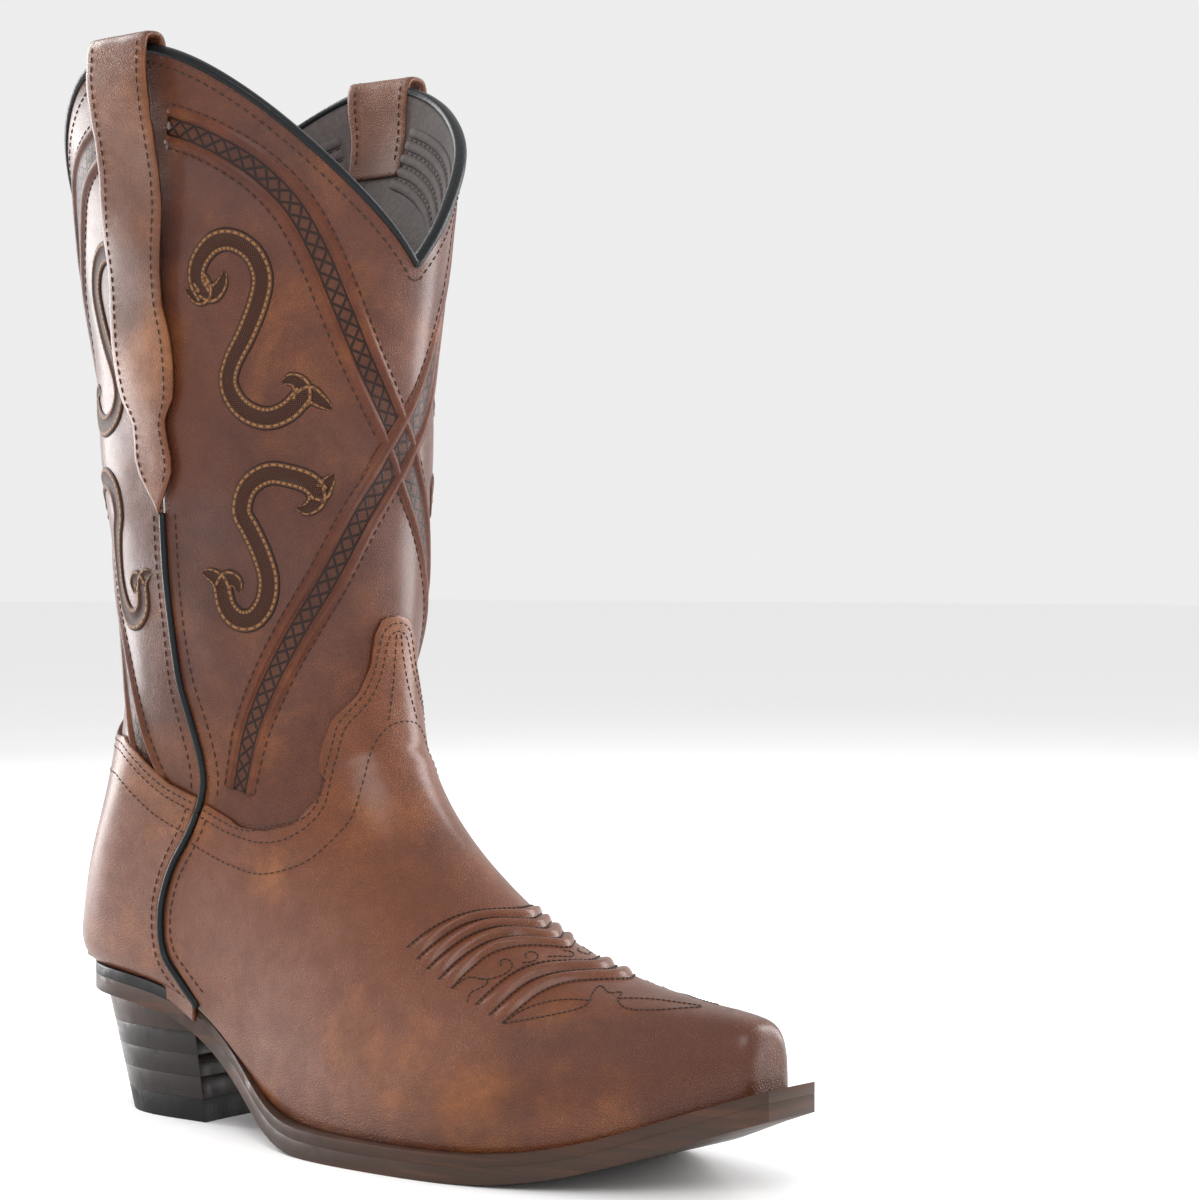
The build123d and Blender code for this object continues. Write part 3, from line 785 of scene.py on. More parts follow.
def strap(name, side, node, material):
    """Pull strap looped over the top edge."""

    def place(u, v):
        part = np.interp(u, [0, 0.03, 0.08, 0.92, 0.97, 1], [0, 0.012, 0.05, 0.95, 0.988, 1])
        step = v * (len(strap_run) - 1)
        places, facing, wide = strap_surface(side, part, step)
        return places, facing, np.stack([(part - 0.5) * wide, step * 1.6], axis=1)

    mesh = joined(laid_grid(name, 26, len(strap_run) - 1, place))
    return thicken(finish_piece(name, mesh, material, node), 1.9 * mm)


def strap_seam(side, inset, first, last):
    """Stitch row along a strap, inset from its edge; a negative inset counts from the front edge."""
    steps = np.linspace(first, last, 400)
    z = np.interp(steps, np.arange(len(strap_run)), strap_run[:, 1])
    wide = np.interp(z, strap_limits[:, 0], strap_limits[:, 2] - strap_limits[:, 1])
    part = np.where(inset > 0, inset / np.maximum(wide, 5), 1 + inset / np.maximum(wide, 5))
    points, facing, _ = strap_surface(side, np.clip(part, 0.12, 0.88), steps, 0.1 * mm)
    return np.hstack([points, facing])


# ---------------------------------------------------------------- finishes
def group_tree(name, sockets_in, sockets_out):
    tree = bpy.data.node_groups.new(name, "ShaderNodeTree")
    for label, kind, value in sockets_in:
        socket = tree.interface.new_socket(label, in_out="INPUT", socket_type=kind)
        socket.default_value = value
    for label, kind in sockets_out:
        tree.interface.new_socket(label, in_out="OUTPUT", socket_type=kind)
    return tree, tree.nodes.new("NodeGroupInput"), tree.nodes.new("NodeGroupOutput")


def object_place(tree):
    return tree.nodes.new("ShaderNodeTexCoord").outputs["Object"]


def noise(tree, place, scale, detail=3.0, rough=0.5, bend=0.0):
    node = tree.nodes.new("ShaderNodeTexNoise")
    node.inputs["Scale"].default_value = scale
    node.inputs["Detail"].default_value = detail
    node.inputs["Roughness"].default_value = rough
    node.inputs["Distortion"].default_value = bend
    tree.links.new(place, node.inputs["Vector"])
    return node.outputs["Fac"]


def reshape(tree, value, low, high, out_low=0.0, out_high=1.0):
    node = tree.nodes.new("ShaderNodeMapRange")
    node.interpolation_type = "SMOOTHSTEP"
    node.inputs["From Min"].default_value = low
    node.inputs["From Max"].default_value = high
    node.inputs["To Min"].default_value = out_low
    node.inputs["To Max"].default_value = out_high
    tree.links.new(value, node.inputs["Value"])
    return node.outputs["Result"]


def maths(tree, kind, a, b=None, c=None):
    node = tree.nodes.new("ShaderNodeMath")
    node.operation = kind
    for socket, value in zip(node.inputs, (a, b, c)):
        if value is None:
            continue
        if isinstance(value, (int, float)):
            socket.default_value = value
        else:
            tree.links.new(value, socket)
    return node.outputs[0]


def lines_of(tree, along, pitch, low, high, out_low=0.0, out_high=1.0):
    """Even rows at a pitch: how far the place is from the middle of its own row, reshaped."""
    phase = maths(tree, "FRACT", maths(tree, "DIVIDE", along, pitch))
    away = maths(tree, "ABSOLUTE", maths(tree, "SUBTRACT", phase, 0.5))
    return reshape(tree, away, low, high, out_low, out_high)


def blend(tree, share, a, b):
    node = tree.nodes.new("ShaderNodeMix")
    node.data_type = "RGBA"
    for socket, value in ((node.inputs[0], share), (node.inputs[6], a), (node.inputs[7], b)):
        if isinstance(value, (int, float)):
            socket.default_value = value
        elif isinstance(value, tuple):
            socket.default_value = (*value, 1)
        else:
            tree.links.new(value, socket)
    return node.outputs[2]


def hide_group():
    """Burnished cowhide: clouds of dark and tan dye, pores and fine creases."""
    tree, given, made = group_tree(
        "cowhide",
        [("Base", "NodeSocketColor", (0.2, 0.08, 0.04, 1)), ("Dark", "NodeSocketColor", (0.1, 0.04, 0.03, 1)),
         ("Tan", "NodeSocketColor", (0.4, 0.17, 0.06, 1)), ("Cloud", "NodeSocketFloat", 1.0)],
        [("Color", "NodeSocketColor"), ("Roughness", "NodeSocketFloat"), ("Height", "NodeSocketFloat")],
    )
    place = object_place(tree)
    clouds = noise(tree, place, 11, 4, 0.55, 0.5)
    drift = noise(tree, place, 23, 5, 0.62, 0.3)
    mottle = noise(tree, place, 110, 5, 0.6)
    speck = noise(tree, place, 700, 3, 0.6)
    dark = maths(tree, "MULTIPLY", reshape(tree, clouds, 0.47, 0.66), given.outputs["Cloud"])
    tan = maths(tree, "MULTIPLY", reshape(tree, drift, 0.50, 0.70), given.outputs["Cloud"])
    colour = blend(tree, maths(tree, "MULTIPLY", tan, 0.8), given.outputs["Base"], given.outputs["Tan"])
    colour = blend(tree, maths(tree, "MULTIPLY", dark, 0.75), colour, given.outputs["Dark"])
    colour = blend(tree, reshape(tree, mottle, 0.35, 0.75, 0.0, 0.35), colour, given.outputs["Dark"])
    colour = blend(tree, reshape(tree, speck, 0.45, 0.8, 0.0, 0.3), colour, given.outputs["Dark"])
    cells = tree.nodes.new("ShaderNodeTexVoronoi")
    cells.feature = "DISTANCE_TO_EDGE"
    cells.inputs["Scale"].default_value = 1150
    tree.links.new(place, cells.inputs["Vector"])
    pores = reshape(tree, cells.outputs["Distance"], 0.0, 0.22)
    creases = noise(tree, place, 260, 6, 0.7, 1.2)
    height = maths(tree, "ADD", maths(tree, "MULTIPLY", pores, 0.5), maths(tree, "MULTIPLY", creases, 0.9))
    colour = blend(tree, reshape(tree, pores, 0.0, 1.0, 0.22, 0.0), colour, given.outputs["Dark"])
    tree.links.new(colour, made.inputs["Color"])
    tree.links.new(reshape(tree, mottle, 0.3, 0.7, 0.40, 0.56), made.inputs["Roughness"])
    tree.links.new(height, made.inputs["Height"])
    return tree


def weave_group():
    """Fine fibre: close threads of a stitch or cloth, as colour share and height."""
    tree, given, made = group_tree(
        "fibre",
        [("Scale", "NodeSocketFloat", 900.0)],
        [("Share", "NodeSocketFloat"), ("Height", "NodeSocketFloat")],
    )
    place = object_place(tree)
    node = tree.nodes.new("ShaderNodeTexNoise")
    node.inputs["Detail"].default_value = 4
    tree.links.new(place, node.inputs["Vector"])
    tree.links.new(given.outputs["Scale"], node.inputs["Scale"])
    tree.links.new(reshape(tree, node.outputs["Fac"], 0.3, 0.7), made.inputs["Share"])
    tree.links.new(node.outputs["Fac"], made.inputs["Height"])
    return tree


cowhide = hide_group()
fibre = weave_group()


def start_material(name, coat=0.0, sheen=0.0):
    material = bpy.data.materials.new(name)
    material.use_nodes = True
    tree = material.node_tree
    shader = tree.nodes["Principled BSDF"]
    shader.inputs["Coat Weight"].default_value = coat
    shader.inputs["Coat Roughness"].default_value = 0.28
    shader.inputs["Specular IOR Level"].default_value = 0.2
    shader.inputs["Sheen Weight"].default_value = sheen
    return material, tree, shader


def bump(tree, shader, height, deep):
    node = tree.nodes.new("ShaderNodeBump")
    node.inputs["Distance"].default_value = deep
    node.inputs["Strength"].default_value = 1.0
    tree.links.new(height, node.inputs["Height"])
    tree.links.new(node.outputs["Normal"], shader.inputs["Normal"])


def hide_nodes(tree, base, dark, tan, cloud=1.0):
    node = tree.nodes.new("ShaderNodeGroup")
    node.node_tree = cowhide
    node.inputs["Base"].default_value = (*base, 1)
    node.inputs["Dark"].default_value = (*dark, 1)
    node.inputs["Tan"].default_value = (*tan, 1)
    node.inputs["Cloud"].default_value = cloud
    return node


def hide_material(name, base, dark, tan, cloud=1.0, coat=0.5, deep=0.00038):
    material, tree, shader = start_material(name, coat)
    hide = hide_nodes(tree, base, dark, tan, cloud)
    tree.links.new(hide.outputs["Color"], shader.inputs["Base Color"])
    tree.links.new(hide.outputs["Roughness"], shader.inputs["Roughness"])
    bump(tree, shader, hide.outputs["Height"], deep)
    return material


def map_axes(tree):
    """Across and along coordinates of a strip, in mm."""
    place = tree.nodes.new("ShaderNodeTexCoord").outputs["UV"]
    split = tree.nodes.new("ShaderNodeSeparateXYZ")
    tree.links.new(place, split.inputs[0])
    return split.outputs[0], split.outputs[1]


lace_pitch = 5.0    # mm from one lace crossing to the next


def band_material(name, base, dark, tan):
    """Corded band: leather with a dark criss-cross lattice laced down its middle."""
    material, tree, shader = start_material(name, 0.18)
    hide = hide_nodes(tree, base, dark, tan)
    across, along = map_axes(tree)
    away = maths(tree, "ABSOLUTE", across)
    lines = None
    for sign in (1, -1):
        slanted = maths(tree, "MULTIPLY_ADD", across, sign * 1.0, along)
        line = lines_of(tree, slanted, lace_pitch, 0.07, 0.13, 1.0, 0.0)
        lines = line if lines is None else maths(tree, "MAXIMUM", lines, line)
    inside = reshape(tree, away, 2.35, 2.6, 1.0, 0.0)
    rim = maths(tree, "MULTIPLY", reshape(tree, away, 2.2, 2.4), reshape(tree, away, 2.7, 2.95, 1.0, 0.0))
    lace = maths(tree, "MAXIMUM", maths(tree, "MULTIPLY", lines, inside), rim)
    bed = blend(tree, maths(tree, "MULTIPLY", inside, 0.45), hide.outputs["Color"], (0.045, 0.02, 0.013))
    colour = blend(tree, maths(tree, "MULTIPLY", lace, 0.92), bed, (0.012, 0.006, 0.005))
    tree.links.new(colour, shader.inputs["Base Color"])
    tree.links.new(hide.outputs["Roughness"], shader.inputs["Roughness"])
    height = maths(tree, "MULTIPLY_ADD", lace, 2.2, hide.outputs["Height"])
    bump(tree, shader, height, 0.0002)
    return material


def scroll_material(name, base, dark, tan):
    """Scroll inlay: tan piping sewn in gold dashes, dark woven middle, dark outline."""
    material, tree, shader = start_material(name, 0.05)
    hide = hide_nodes(tree, base, dark, tan, 0.5)
    across, along = map_axes(tree)
    away = maths(tree, "ABSOLUTE", across)
    outline = reshape(tree, away, 3.15, 3.35)
    middle = reshape(tree, away, 1.55, 1.8, 1.0, 0.0)
    edge = maths(tree, "MULTIPLY", reshape(tree, away, 1.5, 1.7), reshape(tree, away, 1.9, 2.1, 1.0, 0.0))
    lane = maths(tree, "MULTIPLY", reshape(tree, away, 2.05, 2.25), reshape(tree, away, 2.85, 3.05, 1.0, 0.0))
    dash = lines_of(tree, along, 1.9, 0.3, 0.38, 1.0, 0.0)
    gold = maths(tree, "MULTIPLY", lane, dash)
    twill = lines_of(tree, maths(tree, "ADD", along, away), 0.8, 0.1, 0.35)
    woven = blend(tree, twill, (0.018, 0.007, 0.005), (0.085, 0.030, 0.016))
    colour = blend(tree, middle, hide.outputs["Color"], woven)
    colour = blend(tree, maths(tree, "MULTIPLY", edge, 0.7), colour, (0.02, 0.01, 0.008))
    colour = blend(tree, gold, colour, (0.26, 0.125, 0.05))
    colour = blend(tree, outline, colour, (0.02, 0.01, 0.008))
    tree.links.new(colour, shader.inputs["Base Color"])
    shader.inputs["Roughness"].default_value = 0.6
    thread = maths(tree, "MULTIPLY", gold, 1.6)
    bump(tree, shader, maths(tree, "ADD", thread, maths(tree, "MULTIPLY", twill, middle)), 0.00025)
    return material


def thread_material(name, colour, light):
    material, tree, shader = start_material(name, 0.0, 0.1)
    node = tree.nodes.new("ShaderNodeGroup")
    node.node_tree = fibre
    node.inputs["Scale"].default_value = 2400
    tree.links.new(blend(tree, node.outputs["Share"], colour, light), shader.inputs["Base Color"])
    shader.inputs["Roughness"].default_value = 0.6
    bump(tree, shader, node.outputs["Height"], 0.0001)
    return material


def soft_material(name, colour, dark, rough, scale=900, deep=0.00015):
    """Plain hide, cloth, board or rubber with a fine surface."""
    material, tree, shader = start_material(name)
    node = tree.nodes.new("ShaderNodeGroup")
    node.node_tree = fibre
    node.inputs["Scale"].default_value = scale
    place = object_place(tree)
    cloud = reshape(tree, noise(tree, place, 30, 4, 0.6), 0.35, 0.7, 0.0, 0.6)
    colour = blend(tree, cloud, colour, dark)
    colour = blend(tree, maths(tree, "MULTIPLY", node.outputs["Share"], 0.4), colour, dark)
    tree.links.new(colour, shader.inputs["Base Color"])
    shader.inputs["Roughness"].default_value = rough
    bump(tree, shader, node.outputs["Height"], deep)
    return material


def stretched(tree, level, upright):
    """Object coordinates scaled for streaks that lie level."""
    mapping = tree.nodes.new("ShaderNodeMapping")
    mapping.inputs["Scale"].default_value = (level, level, upright)
    tree.links.new(object_place(tree), mapping.inputs["Vector"])
    return mapping.outputs["Vector"]


def edge_material(name, colour, streak, rough, share=0.8, coat=0.1, fine=420, deep=0.00012):
    """Burnished sole or heel edge: fibres streaked along the layers."""
    material, tree, shader = start_material(name, coat)
    lines = noise(tree, stretched(tree, 18, fine), 1.0, 6, 0.65, 0.4)
    patches = noise(tree, stretched(tree, 9, 120), 1.0, 3, 0.5, 0.8)
    worn = maths(tree, "MULTIPLY", reshape(tree, lines, 0.42, 0.68), reshape(tree, patches, 0.38, 0.6))
    share = maths(tree, "MULTIPLY", worn, share)
    tree.links.new(blend(tree, share, colour, streak), shader.inputs["Base Color"])
    tree.links.new(reshape(tree, lines, 0.3, 0.7, rough - 0.08, rough + 0.1), shader.inputs["Roughness"])
    bump(tree, shader, lines, deep)
    return material


# ---------------------------------------------------------------- pattern of the leather
band_upper = [
    (86.0, 308.2), (74.6, 304.5), (63, 299.3), (51.8, 292.5), (40.7, 282.1), (31.5, 267.9), (23.5, 252.7),
    (15.7, 236.7), (8.0, 223.0), (0, 211.0),
]
band_lower = [
    (-6.5, 200.0), (-14.8, 187.0), (-23.8, 169.6), (-32.8, 153.2), (-41.4, 137.9), (-50.7, 122.6),
    (-62.0, 105.5),
]
scroll_lines = {
    "high": [
        (68.9, 256.7), (72.9, 262.0), (72.4, 267.6), (67.6, 272.6), (60.7, 273.3), (53.6, 269.4),
        (49.6, 262.5), (49.7, 255.1), (52.4, 245.5), (56.8, 236), (57.4, 229.1), (52.6, 222.4),
        (45.1, 219.3), (38.4, 221.3), (33.6, 226.6),
    ],
    "low": [
        (26.6, 196.2), (30.0, 199.6), (35.6, 201.6), (42.9, 202.5), (48.9, 198.6), (50.6, 191.3),
        (47.5, 185.6), (44, 178.5), (41.6, 170.6), (42.4, 163.4), (46.1, 158.6), (51.2, 158.2),
        (55.6, 161.9), (57.6, 168.2),
    ],
}
scroll_barbs = {
    "high": [
        [(72.2, 262.6), (69.0, 258.6), (71.5, 256.6), (78.8, 260.2)],
        [(70.6, 259.4), (66.4, 257.6), (63.2, 260.2), (62.6, 265.4)],
        [(35.8, 223.8), (32.2, 226.4), (29.2, 224.8), (24.0, 221.2)],
        [(34.2, 224.6), (34.6, 228.8), (37.6, 230.9), (41.4, 229.6)],
    ],
    "low": [
        [(29.4, 199.0), (26.6, 196.6), (25.0, 199.0), (22.2, 203.2)],
        [(28.4, 198.2), (27.6, 194.6), (30.4, 191.8), (34.4, 192.4)],
        [(57.2, 165.6), (58.2, 169.2), (61.0, 171.6), (66.0, 173.0)],
        [(57.6, 167.4), (55.6, 170.4), (52.4, 169.6), (51.4, 165.4)],
    ],
}
toe_lines = [
    [(21.2, -29.6, 62.3), (24.5, -24.9, 67.1), (28.7, -18.9, 71.0), (32.8, -12.7, 73.1),
     (36.7, -6.3, 73.5), (38.6, 0, 72.8)],
    [(25.6, -30.0, 59.3), (28.8, -24.9, 64.6), (32.5, -18.4, 69.1), (36.5, -12.2, 71.0),
     (40.8, -6.2, 71.0), (43.4, 0, 70.3)],
    [(29.9, -30.5, 56.7), (33.0, -24.9, 62.3), (36.6, -18.3, 66.8), (40.4, -11.9, 68.9),
     (45.2, -6.0, 68.5), (48.2, 0, 67.6)],
    [(34.9, -30.9, 54.1), (37.6, -25.3, 59.7), (41.0, -18.6, 64.2), (45.0, -12.3, 66.2),
     (50.1, -6.0, 65.6), (53.4, 0, 64.8)],
    [(40.2, -31.1, 51.8), (42.6, -25.5, 57.4), (45.4, -18.8, 62.0), (49.6, -12.4, 63.7),
     (54.6, -6.2, 63.5), (58.4, 0, 62.6)],
    [(50.1, -31.7, 47.9), (52.4, -26.4, 52.9), (55.1, -19.6, 57.5), (58.6, -13.4, 59.6),
     (63.2, -7.0, 59.5), (66.6, 0, 58.9)],
    [(55.9, -32.1, 45.6), (58.3, -27.0, 50.5), (61.0, -20.3, 55.0), (64.8, -14.3, 57.0),
     (69.6, -7.6, 57.3), (73.4, 0, 56.9)],
    [(61.0, -32.2, 43.8), (63.9, -27.2, 48.5), (66.8, -20.8, 52.9), (70.6, -15.1, 55.1),
     (76.4, -8.4, 55.6), (81.4, 0, 55.2)],
]
toe_curls = [
    [(61.0, -32.2, 43.8), (64.6, -28.0, 47.5), (69.0, -24.0, 49.8), (74.9, -20.1, 51.0),
     (81.3, -17.7, 50.9), (79.8, -21.2, 48.8), (73.4, -25.9, 46.8), (66.2, -29.8, 45.0),
     (61.4, -32.0, 43.8)],
    [(87.6, -12.8, 51.4), (90.1, -11.0, 51.7), (96.1, -7.6, 51.4), (103.9, -4.4, 50.6),
     (111.2, -3.0, 49.7), (106.8, -7.4, 49.5), (97.9, -12.8, 48.9), (92.0, -14.7, 49.4),
     (87.8, -13.2, 51.2)],
    [(81.3, -17.7, 50.9), (79.6, -14.4, 53.4), (79.2, -10.4, 54.8), (84.0, -12.4, 53.4),
     (86.4, -9.4, 53.6), (87.6, -12.8, 51.4)],
    [(40.5, -30.6, 52.3), (43.5, -27.2, 55.3), (48.8, -25.5, 55.0), (52.6, -22.2, 56.5),
     (53.0, -18.9, 58.8), (50.2, -18.0, 60.5), (48.6, -19.6, 60.0), (50.3, -20.8, 58.7)],
    [(54.4, -16.6, 59.7), (56.8, -14.3, 60.1), (56.2, -11.2, 61.4), (53.6, -11.5, 62.7),
     (53.0, -13.9, 61.8), (54.5, -14.3, 61.0)],
    [(58.3, -9.9, 61.4), (60.4, -6.9, 61.5), (62.6, -3.6, 60.9), (60.6, -1.2, 61.8), (58.8, -3.6, 62.4)],
    [(47.2, -31.9, 48.5), (46.6, -29.8, 51.2), (48.8, -27.8, 52.7), (49.9, -26.0, 54.2),
     (48.6, -25.3, 55.2), (47.1, -26.4, 54.8)],
]
cord = [(3.3, 0.15), (3.7, 0.75), (4.4, 1.15), (5.1, 1.1), (5.8, 0.65), (6.3, 0.2), (7.0, 0.06), (7.7, -0.12)]
band_ring = (
    [(-x, h) for x, h in reversed(cord)] + [(-2.7, 0.12), (-1.3, 0.22), (0, 0.25), (1.3, 0.22), (2.7, 0.12)]
    + cord + [(6.5, -0.6), (-6.5, -0.6)]
)
scroll_ring = [
    (-3.75, -0.1), (-3.6, 0.3), (-3.1, 0.55), (-2.4, 0.68), (-1.9, 0.55), (-1.5, 0.3), (0, 0.28), (1.5, 0.3),
    (1.9, 0.55), (2.4, 0.68), (3.1, 0.55), (3.6, 0.3), (3.75, -0.1), (3.2, -0.6), (-3.2, -0.6),
]


def clear_of(line, border, distance):
    """Part of an offset line that keeps its distance from the border."""
    gaps = np.linalg.norm(line[:, None, :] - border[None, :, :], axis=2).min(axis=1)
    return line[gaps > distance * 0.97]


def vamp_border():
    """Wing and tongue edge of the vamp from the outer seam over the tongue to the inner seam."""
    outer, inner = (np.vstack(vamp_edge(side)[1:]) for side in (-1, 1))
    return even(np.vstack([outer, inner[::-1][1:]]), 1 * mm)


def counter_border():
    outer = side_path(counter_line, -1) + [end_point(-y * mm, z * mm, -1) for y, z in tab_line]
    inner = side_path(counter_line, 1) + [end_point(y * mm, z * mm, -1) for y, z in tab_line[:-1]]
    return even(np.array(outer + inner[::-1]), 1 * mm)


def rounded(line, passes):
    for _ in range(passes):
        line[1:-1] = (line[:-2] + 2 * line[1:-1] + line[2:]) / 4
    return line


def mirrored(points):
    return [(x, -y, z) for x, y, z in points]


hide_tones = {"base": (0.185, 0.052, 0.016), "dark": (0.075, 0.020, 0.010), "tan": (0.34, 0.112, 0.024)}
shaft_tones = {"base": (0.125, 0.034, 0.014), "dark": (0.055, 0.016, 0.011), "tan": (0.25, 0.080, 0.022)}
strap_tones = {"base": (0.20, 0.062, 0.019), "dark": (0.075, 0.022, 0.011), "tan": (0.36, 0.13, 0.033)}

shaft_hide = hide_material("burnished_shaft_hide", **shaft_tones)
foot_hide = hide_material("burnished_foot_hide", **hide_tones)
strap_hide = hide_material("burnished_strap_hide", **strap_tones, cloud=0.9)
band_hide = band_material("laced_band_hide", **shaft_tones)
scroll_tones = {"base": (0.12, 0.048, 0.021), "dark": (0.05, 0.02, 0.012), "tan": (0.20, 0.09, 0.038)}
scroll_hide = scroll_material("sewn_scroll_hide", **scroll_tones)
dark_thread = thread_material("dark_brown_thread", (0.018, 0.009, 0.007), (0.06, 0.03, 0.02))
black_bead = soft_material("black_bead_leather", (0.012, 0.014, 0.016), (0.006, 0.007, 0.008), 0.32)
taupe_lining = soft_material("taupe_lining_hide", (0.115, 0.094, 0.09), (0.06, 0.05, 0.05), 0.72, 600, 0.0003)
insole_hide = soft_material("insole_hide", (0.32, 0.2, 0.11), (0.2, 0.12, 0.07), 0.7)
board = soft_material("stiffener_board", (0.25, 0.2, 0.15), (0.15, 0.11, 0.08), 0.85)
cloth = soft_material("doubler_cloth", (0.45, 0.42, 0.36), (0.3, 0.27, 0.22), 0.9, 1500)
cork_mass = soft_material("cork_filler", (0.3, 0.19, 0.1), (0.12, 0.07, 0.04), 0.9, 350)
rubber = soft_material("heel_rubber", (0.018, 0.017, 0.017), (0.008, 0.008, 0.008), 0.55, 1400)
steel = soft_material("shank_steel", (0.5, 0.5, 0.52), (0.3, 0.3, 0.32), 0.35)
brass = soft_material("brad_brass", (0.6, 0.42, 0.16), (0.4, 0.27, 0.1), 0.35)
wood = soft_material("peg_wood", (0.42, 0.28, 0.14), (0.28, 0.18, 0.09), 0.7)
welt_edge = edge_material("burnished_welt", (0.048, 0.026, 0.018), (0.13, 0.050, 0.026), 0.42, 0.55)
sole_edge = edge_material("burnished_sole", (0.050, 0.030, 0.022), (0.13, 0.055, 0.032), 0.45, 0.55)
rand_edge = edge_material("black_rand", (0.012, 0.011, 0.011), (0.03, 0.02, 0.016), 0.4, 0.4)
wedge_edge = edge_material(
    "streaked_heel_top", (0.030, 0.016, 0.012), (0.14, 0.045, 0.020), 0.36, 0.6, 0.3, fine=300
)
heel_edge = edge_material(
    "dark_heel_stack", (0.014, 0.009, 0.008), (0.024, 0.012, 0.009), 0.30, 0.5, 0.3, fine=500, deep=0.00003
)

for node, material in (
    ("vamp_lining", taupe_lining), ("heel_lining", taupe_lining), ("sock_liner", insole_hide),
    ("insole", insole_hide), ("heel_stiffener", board), ("toe_box", board),
    ("vamp_doubler", cloth), ("cork_filler", cork_mass),
    ("steel_shank", steel), ("heel_nails", steel), ("cap_brads", brass),
):
    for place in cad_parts[node].material_slots:
        place.material = material


sides = ((-1, "outer"), (1, "inner"))
quarters = [(face, side, f"{face_word}_{word}") for face, face_word in ((1, "front"), (-1, "back"))
            for side, word in sides]


def build_upper():
    low = shaft_panel("shaft_front_leather", 1, 0.086, (("shaft_front_panel",), "shaft_leather"), shaft_hide)
    thicken(low, 1.4 * mm)
    back = shaft_panel("shaft_back_leather", -1, 0.095, (("shaft_back_panel",), "shaft_leather"), shaft_hide)
    thicken(back, 1.4 * mm)
    for face, node in ((1, "shaft_lining_front"), (-1, "shaft_lining_back")):
        lining = shaft_panel(node + "_hide", face, 0.1, ((node,), "lining_leather"), taupe_lining,
                             1.2 * mm, -1.6 * mm, (60, 80))
        thicken(lining, 1.1 * mm)
    vamp_piece(foot_hide)
    counter_piece(foot_hide)
    binding("top_binding_front_bead", 1, ("top_binding_front",), black_bead)
    binding("top_binding_back_bead", -1, ("top_binding_back",), black_bead)
    for side, word in sides:
        strap(f"pull_strap_{word}_leather", side, (f"pull_strap_{word}",), strap_hide)


crossing_z = 211 * mm    # height where two bands cross


def build_bands():
    """Two laced bands on each face, crossing at the middle."""
    rows = []
    for face, side, quarter in quarters:
        line = curve(quarter_points(band_upper + band_lower, face, side), 1.6 * mm)
        wide = np.interp(np.linspace(0, 1, len(line)), [0, 0.55, 1], [1.0, 1.0, 0.84])
        middle = np.argmin(np.abs(line[:, 2] - crossing_z))
        over = 0.45 * mm * np.exp(-(((np.arange(len(line)) - middle) / 7.0) ** 2)) * (side > 0)
        strip(f"band_{quarter}", "shaft", line, band_ring, band_hide, widths=wide, lift=over)
        for away in (-6.9, 6.9):
            stitched, _ = beside("shaft", line, away * mm * wide)
            keep = np.linalg.norm(stitched - line[middle], axis=1) > 9.5 * mm
            for part in (slice(0, middle), slice(middle, None)):
                rows.append(seam("shaft", stitched[part][keep[part]], 0.12 * mm))
    stitches("band_stitching", rows, dark_thread, 3.0, 2.1, 0.62)


def build_scrolls():
    for level in ("high", "low"):
        for face, side, quarter in quarters:
            line = curve(quarter_points(scroll_lines[level], face, side), 0.9 * mm)
            widths = np.interp(np.linspace(0, 1, len(line)), [0, 0.05, 0.95, 1], [0.95, 1, 1, 0.95])
            name = f"scroll_{level}_{quarter}"
            strip(name + "_inlay", "shaft", line, scroll_ring, scroll_hide, widths,
                  nodes=(name,))
            for number, barb in enumerate(scroll_barbs[level]):
                tip = curve(quarter_points(barb, face, side), 0.9 * mm)
                taper = np.interp(np.linspace(0, 1, len(tip)), [0, 0.35, 0.7, 1], [0.95, 0.9, 0.6, 0.05])
                strip(f"{name}_barb_{number}", "shaft", tip, scroll_ring, scroll_hide,
                      taper, lift=-0.1 * mm)


def build_lining_ribs():
    """The corded bands show through the lining as soft ribs with stitch rows between them."""
    ring = [(-2.1, -2.5), (-1.1, -3.2), (0, -3.45), (1.1, -3.2), (2.1, -2.5), (0, -2.3)]
    rows = []
    for face, side, quarter in quarters:
        line = curve(quarter_points(band_upper, face, side), 2.5 * mm)
        for number, away in enumerate((-9.2, -4.6, 0, 4.6, 9.2)):
            rib = beside("shaft", line, away * mm)[0]
            strip(f"lining_rib_{quarter}_{number}", "shaft", rib, ring, taupe_lining)
        for away in (-6.9, -2.3, 2.3, 6.9):
            place, normal = beside("shaft", line, away * mm, -2.75 * mm)
            rows.append(np.hstack([place, -normal]))
    stitches("lining_stitching", rows, dark_thread, 3.0, 2.1, 0.6)


def build_piping():
    ring = [(1.1 * cos(a), 0.6 + 1.1 * sin(a)) for a in np.linspace(0, 2 * pi, 13)[:-1]]
    rows = []
    for side, word in sides:
        line = curve(side_path([p for p in seam_line if p[1] < 196], side), 2 * mm)
        drop = np.interp(line[:, 2], [0.09, 0.107], [cover * 0.75, 0.0])
        above, below = line[:, 2] > 0.098, line[:, 2] < 0.1
        strip(f"side_piping_{word}_bead", "shaft", line[above], ring, black_bead,
              lift=drop[above], nodes=(f"side_piping_{word}",))
        strip(f"side_piping_{word}_foot_bead", "foot", line[below], ring, black_bead,
              lift=drop[below])
        upper = line[(line[:, 2] > 0.104) & (line[:, 2] < 0.194)]
        for away in (-5.2, 5.2):
            rows.append(seam("shaft", beside("shaft", upper, away * mm)[0], 0.1 * mm))
            rows.append(seam("foot", beside("foot", line[below], away * 0.85 * mm)[0], cover + 0.08 * mm))
    stitches("side_seam_stitching", rows, dark_thread, 3.0, 2.1, 0.58)


tongue_fold = ((0.9, 154), (1.6, 147), (3.2, 137), (5.8, 127))


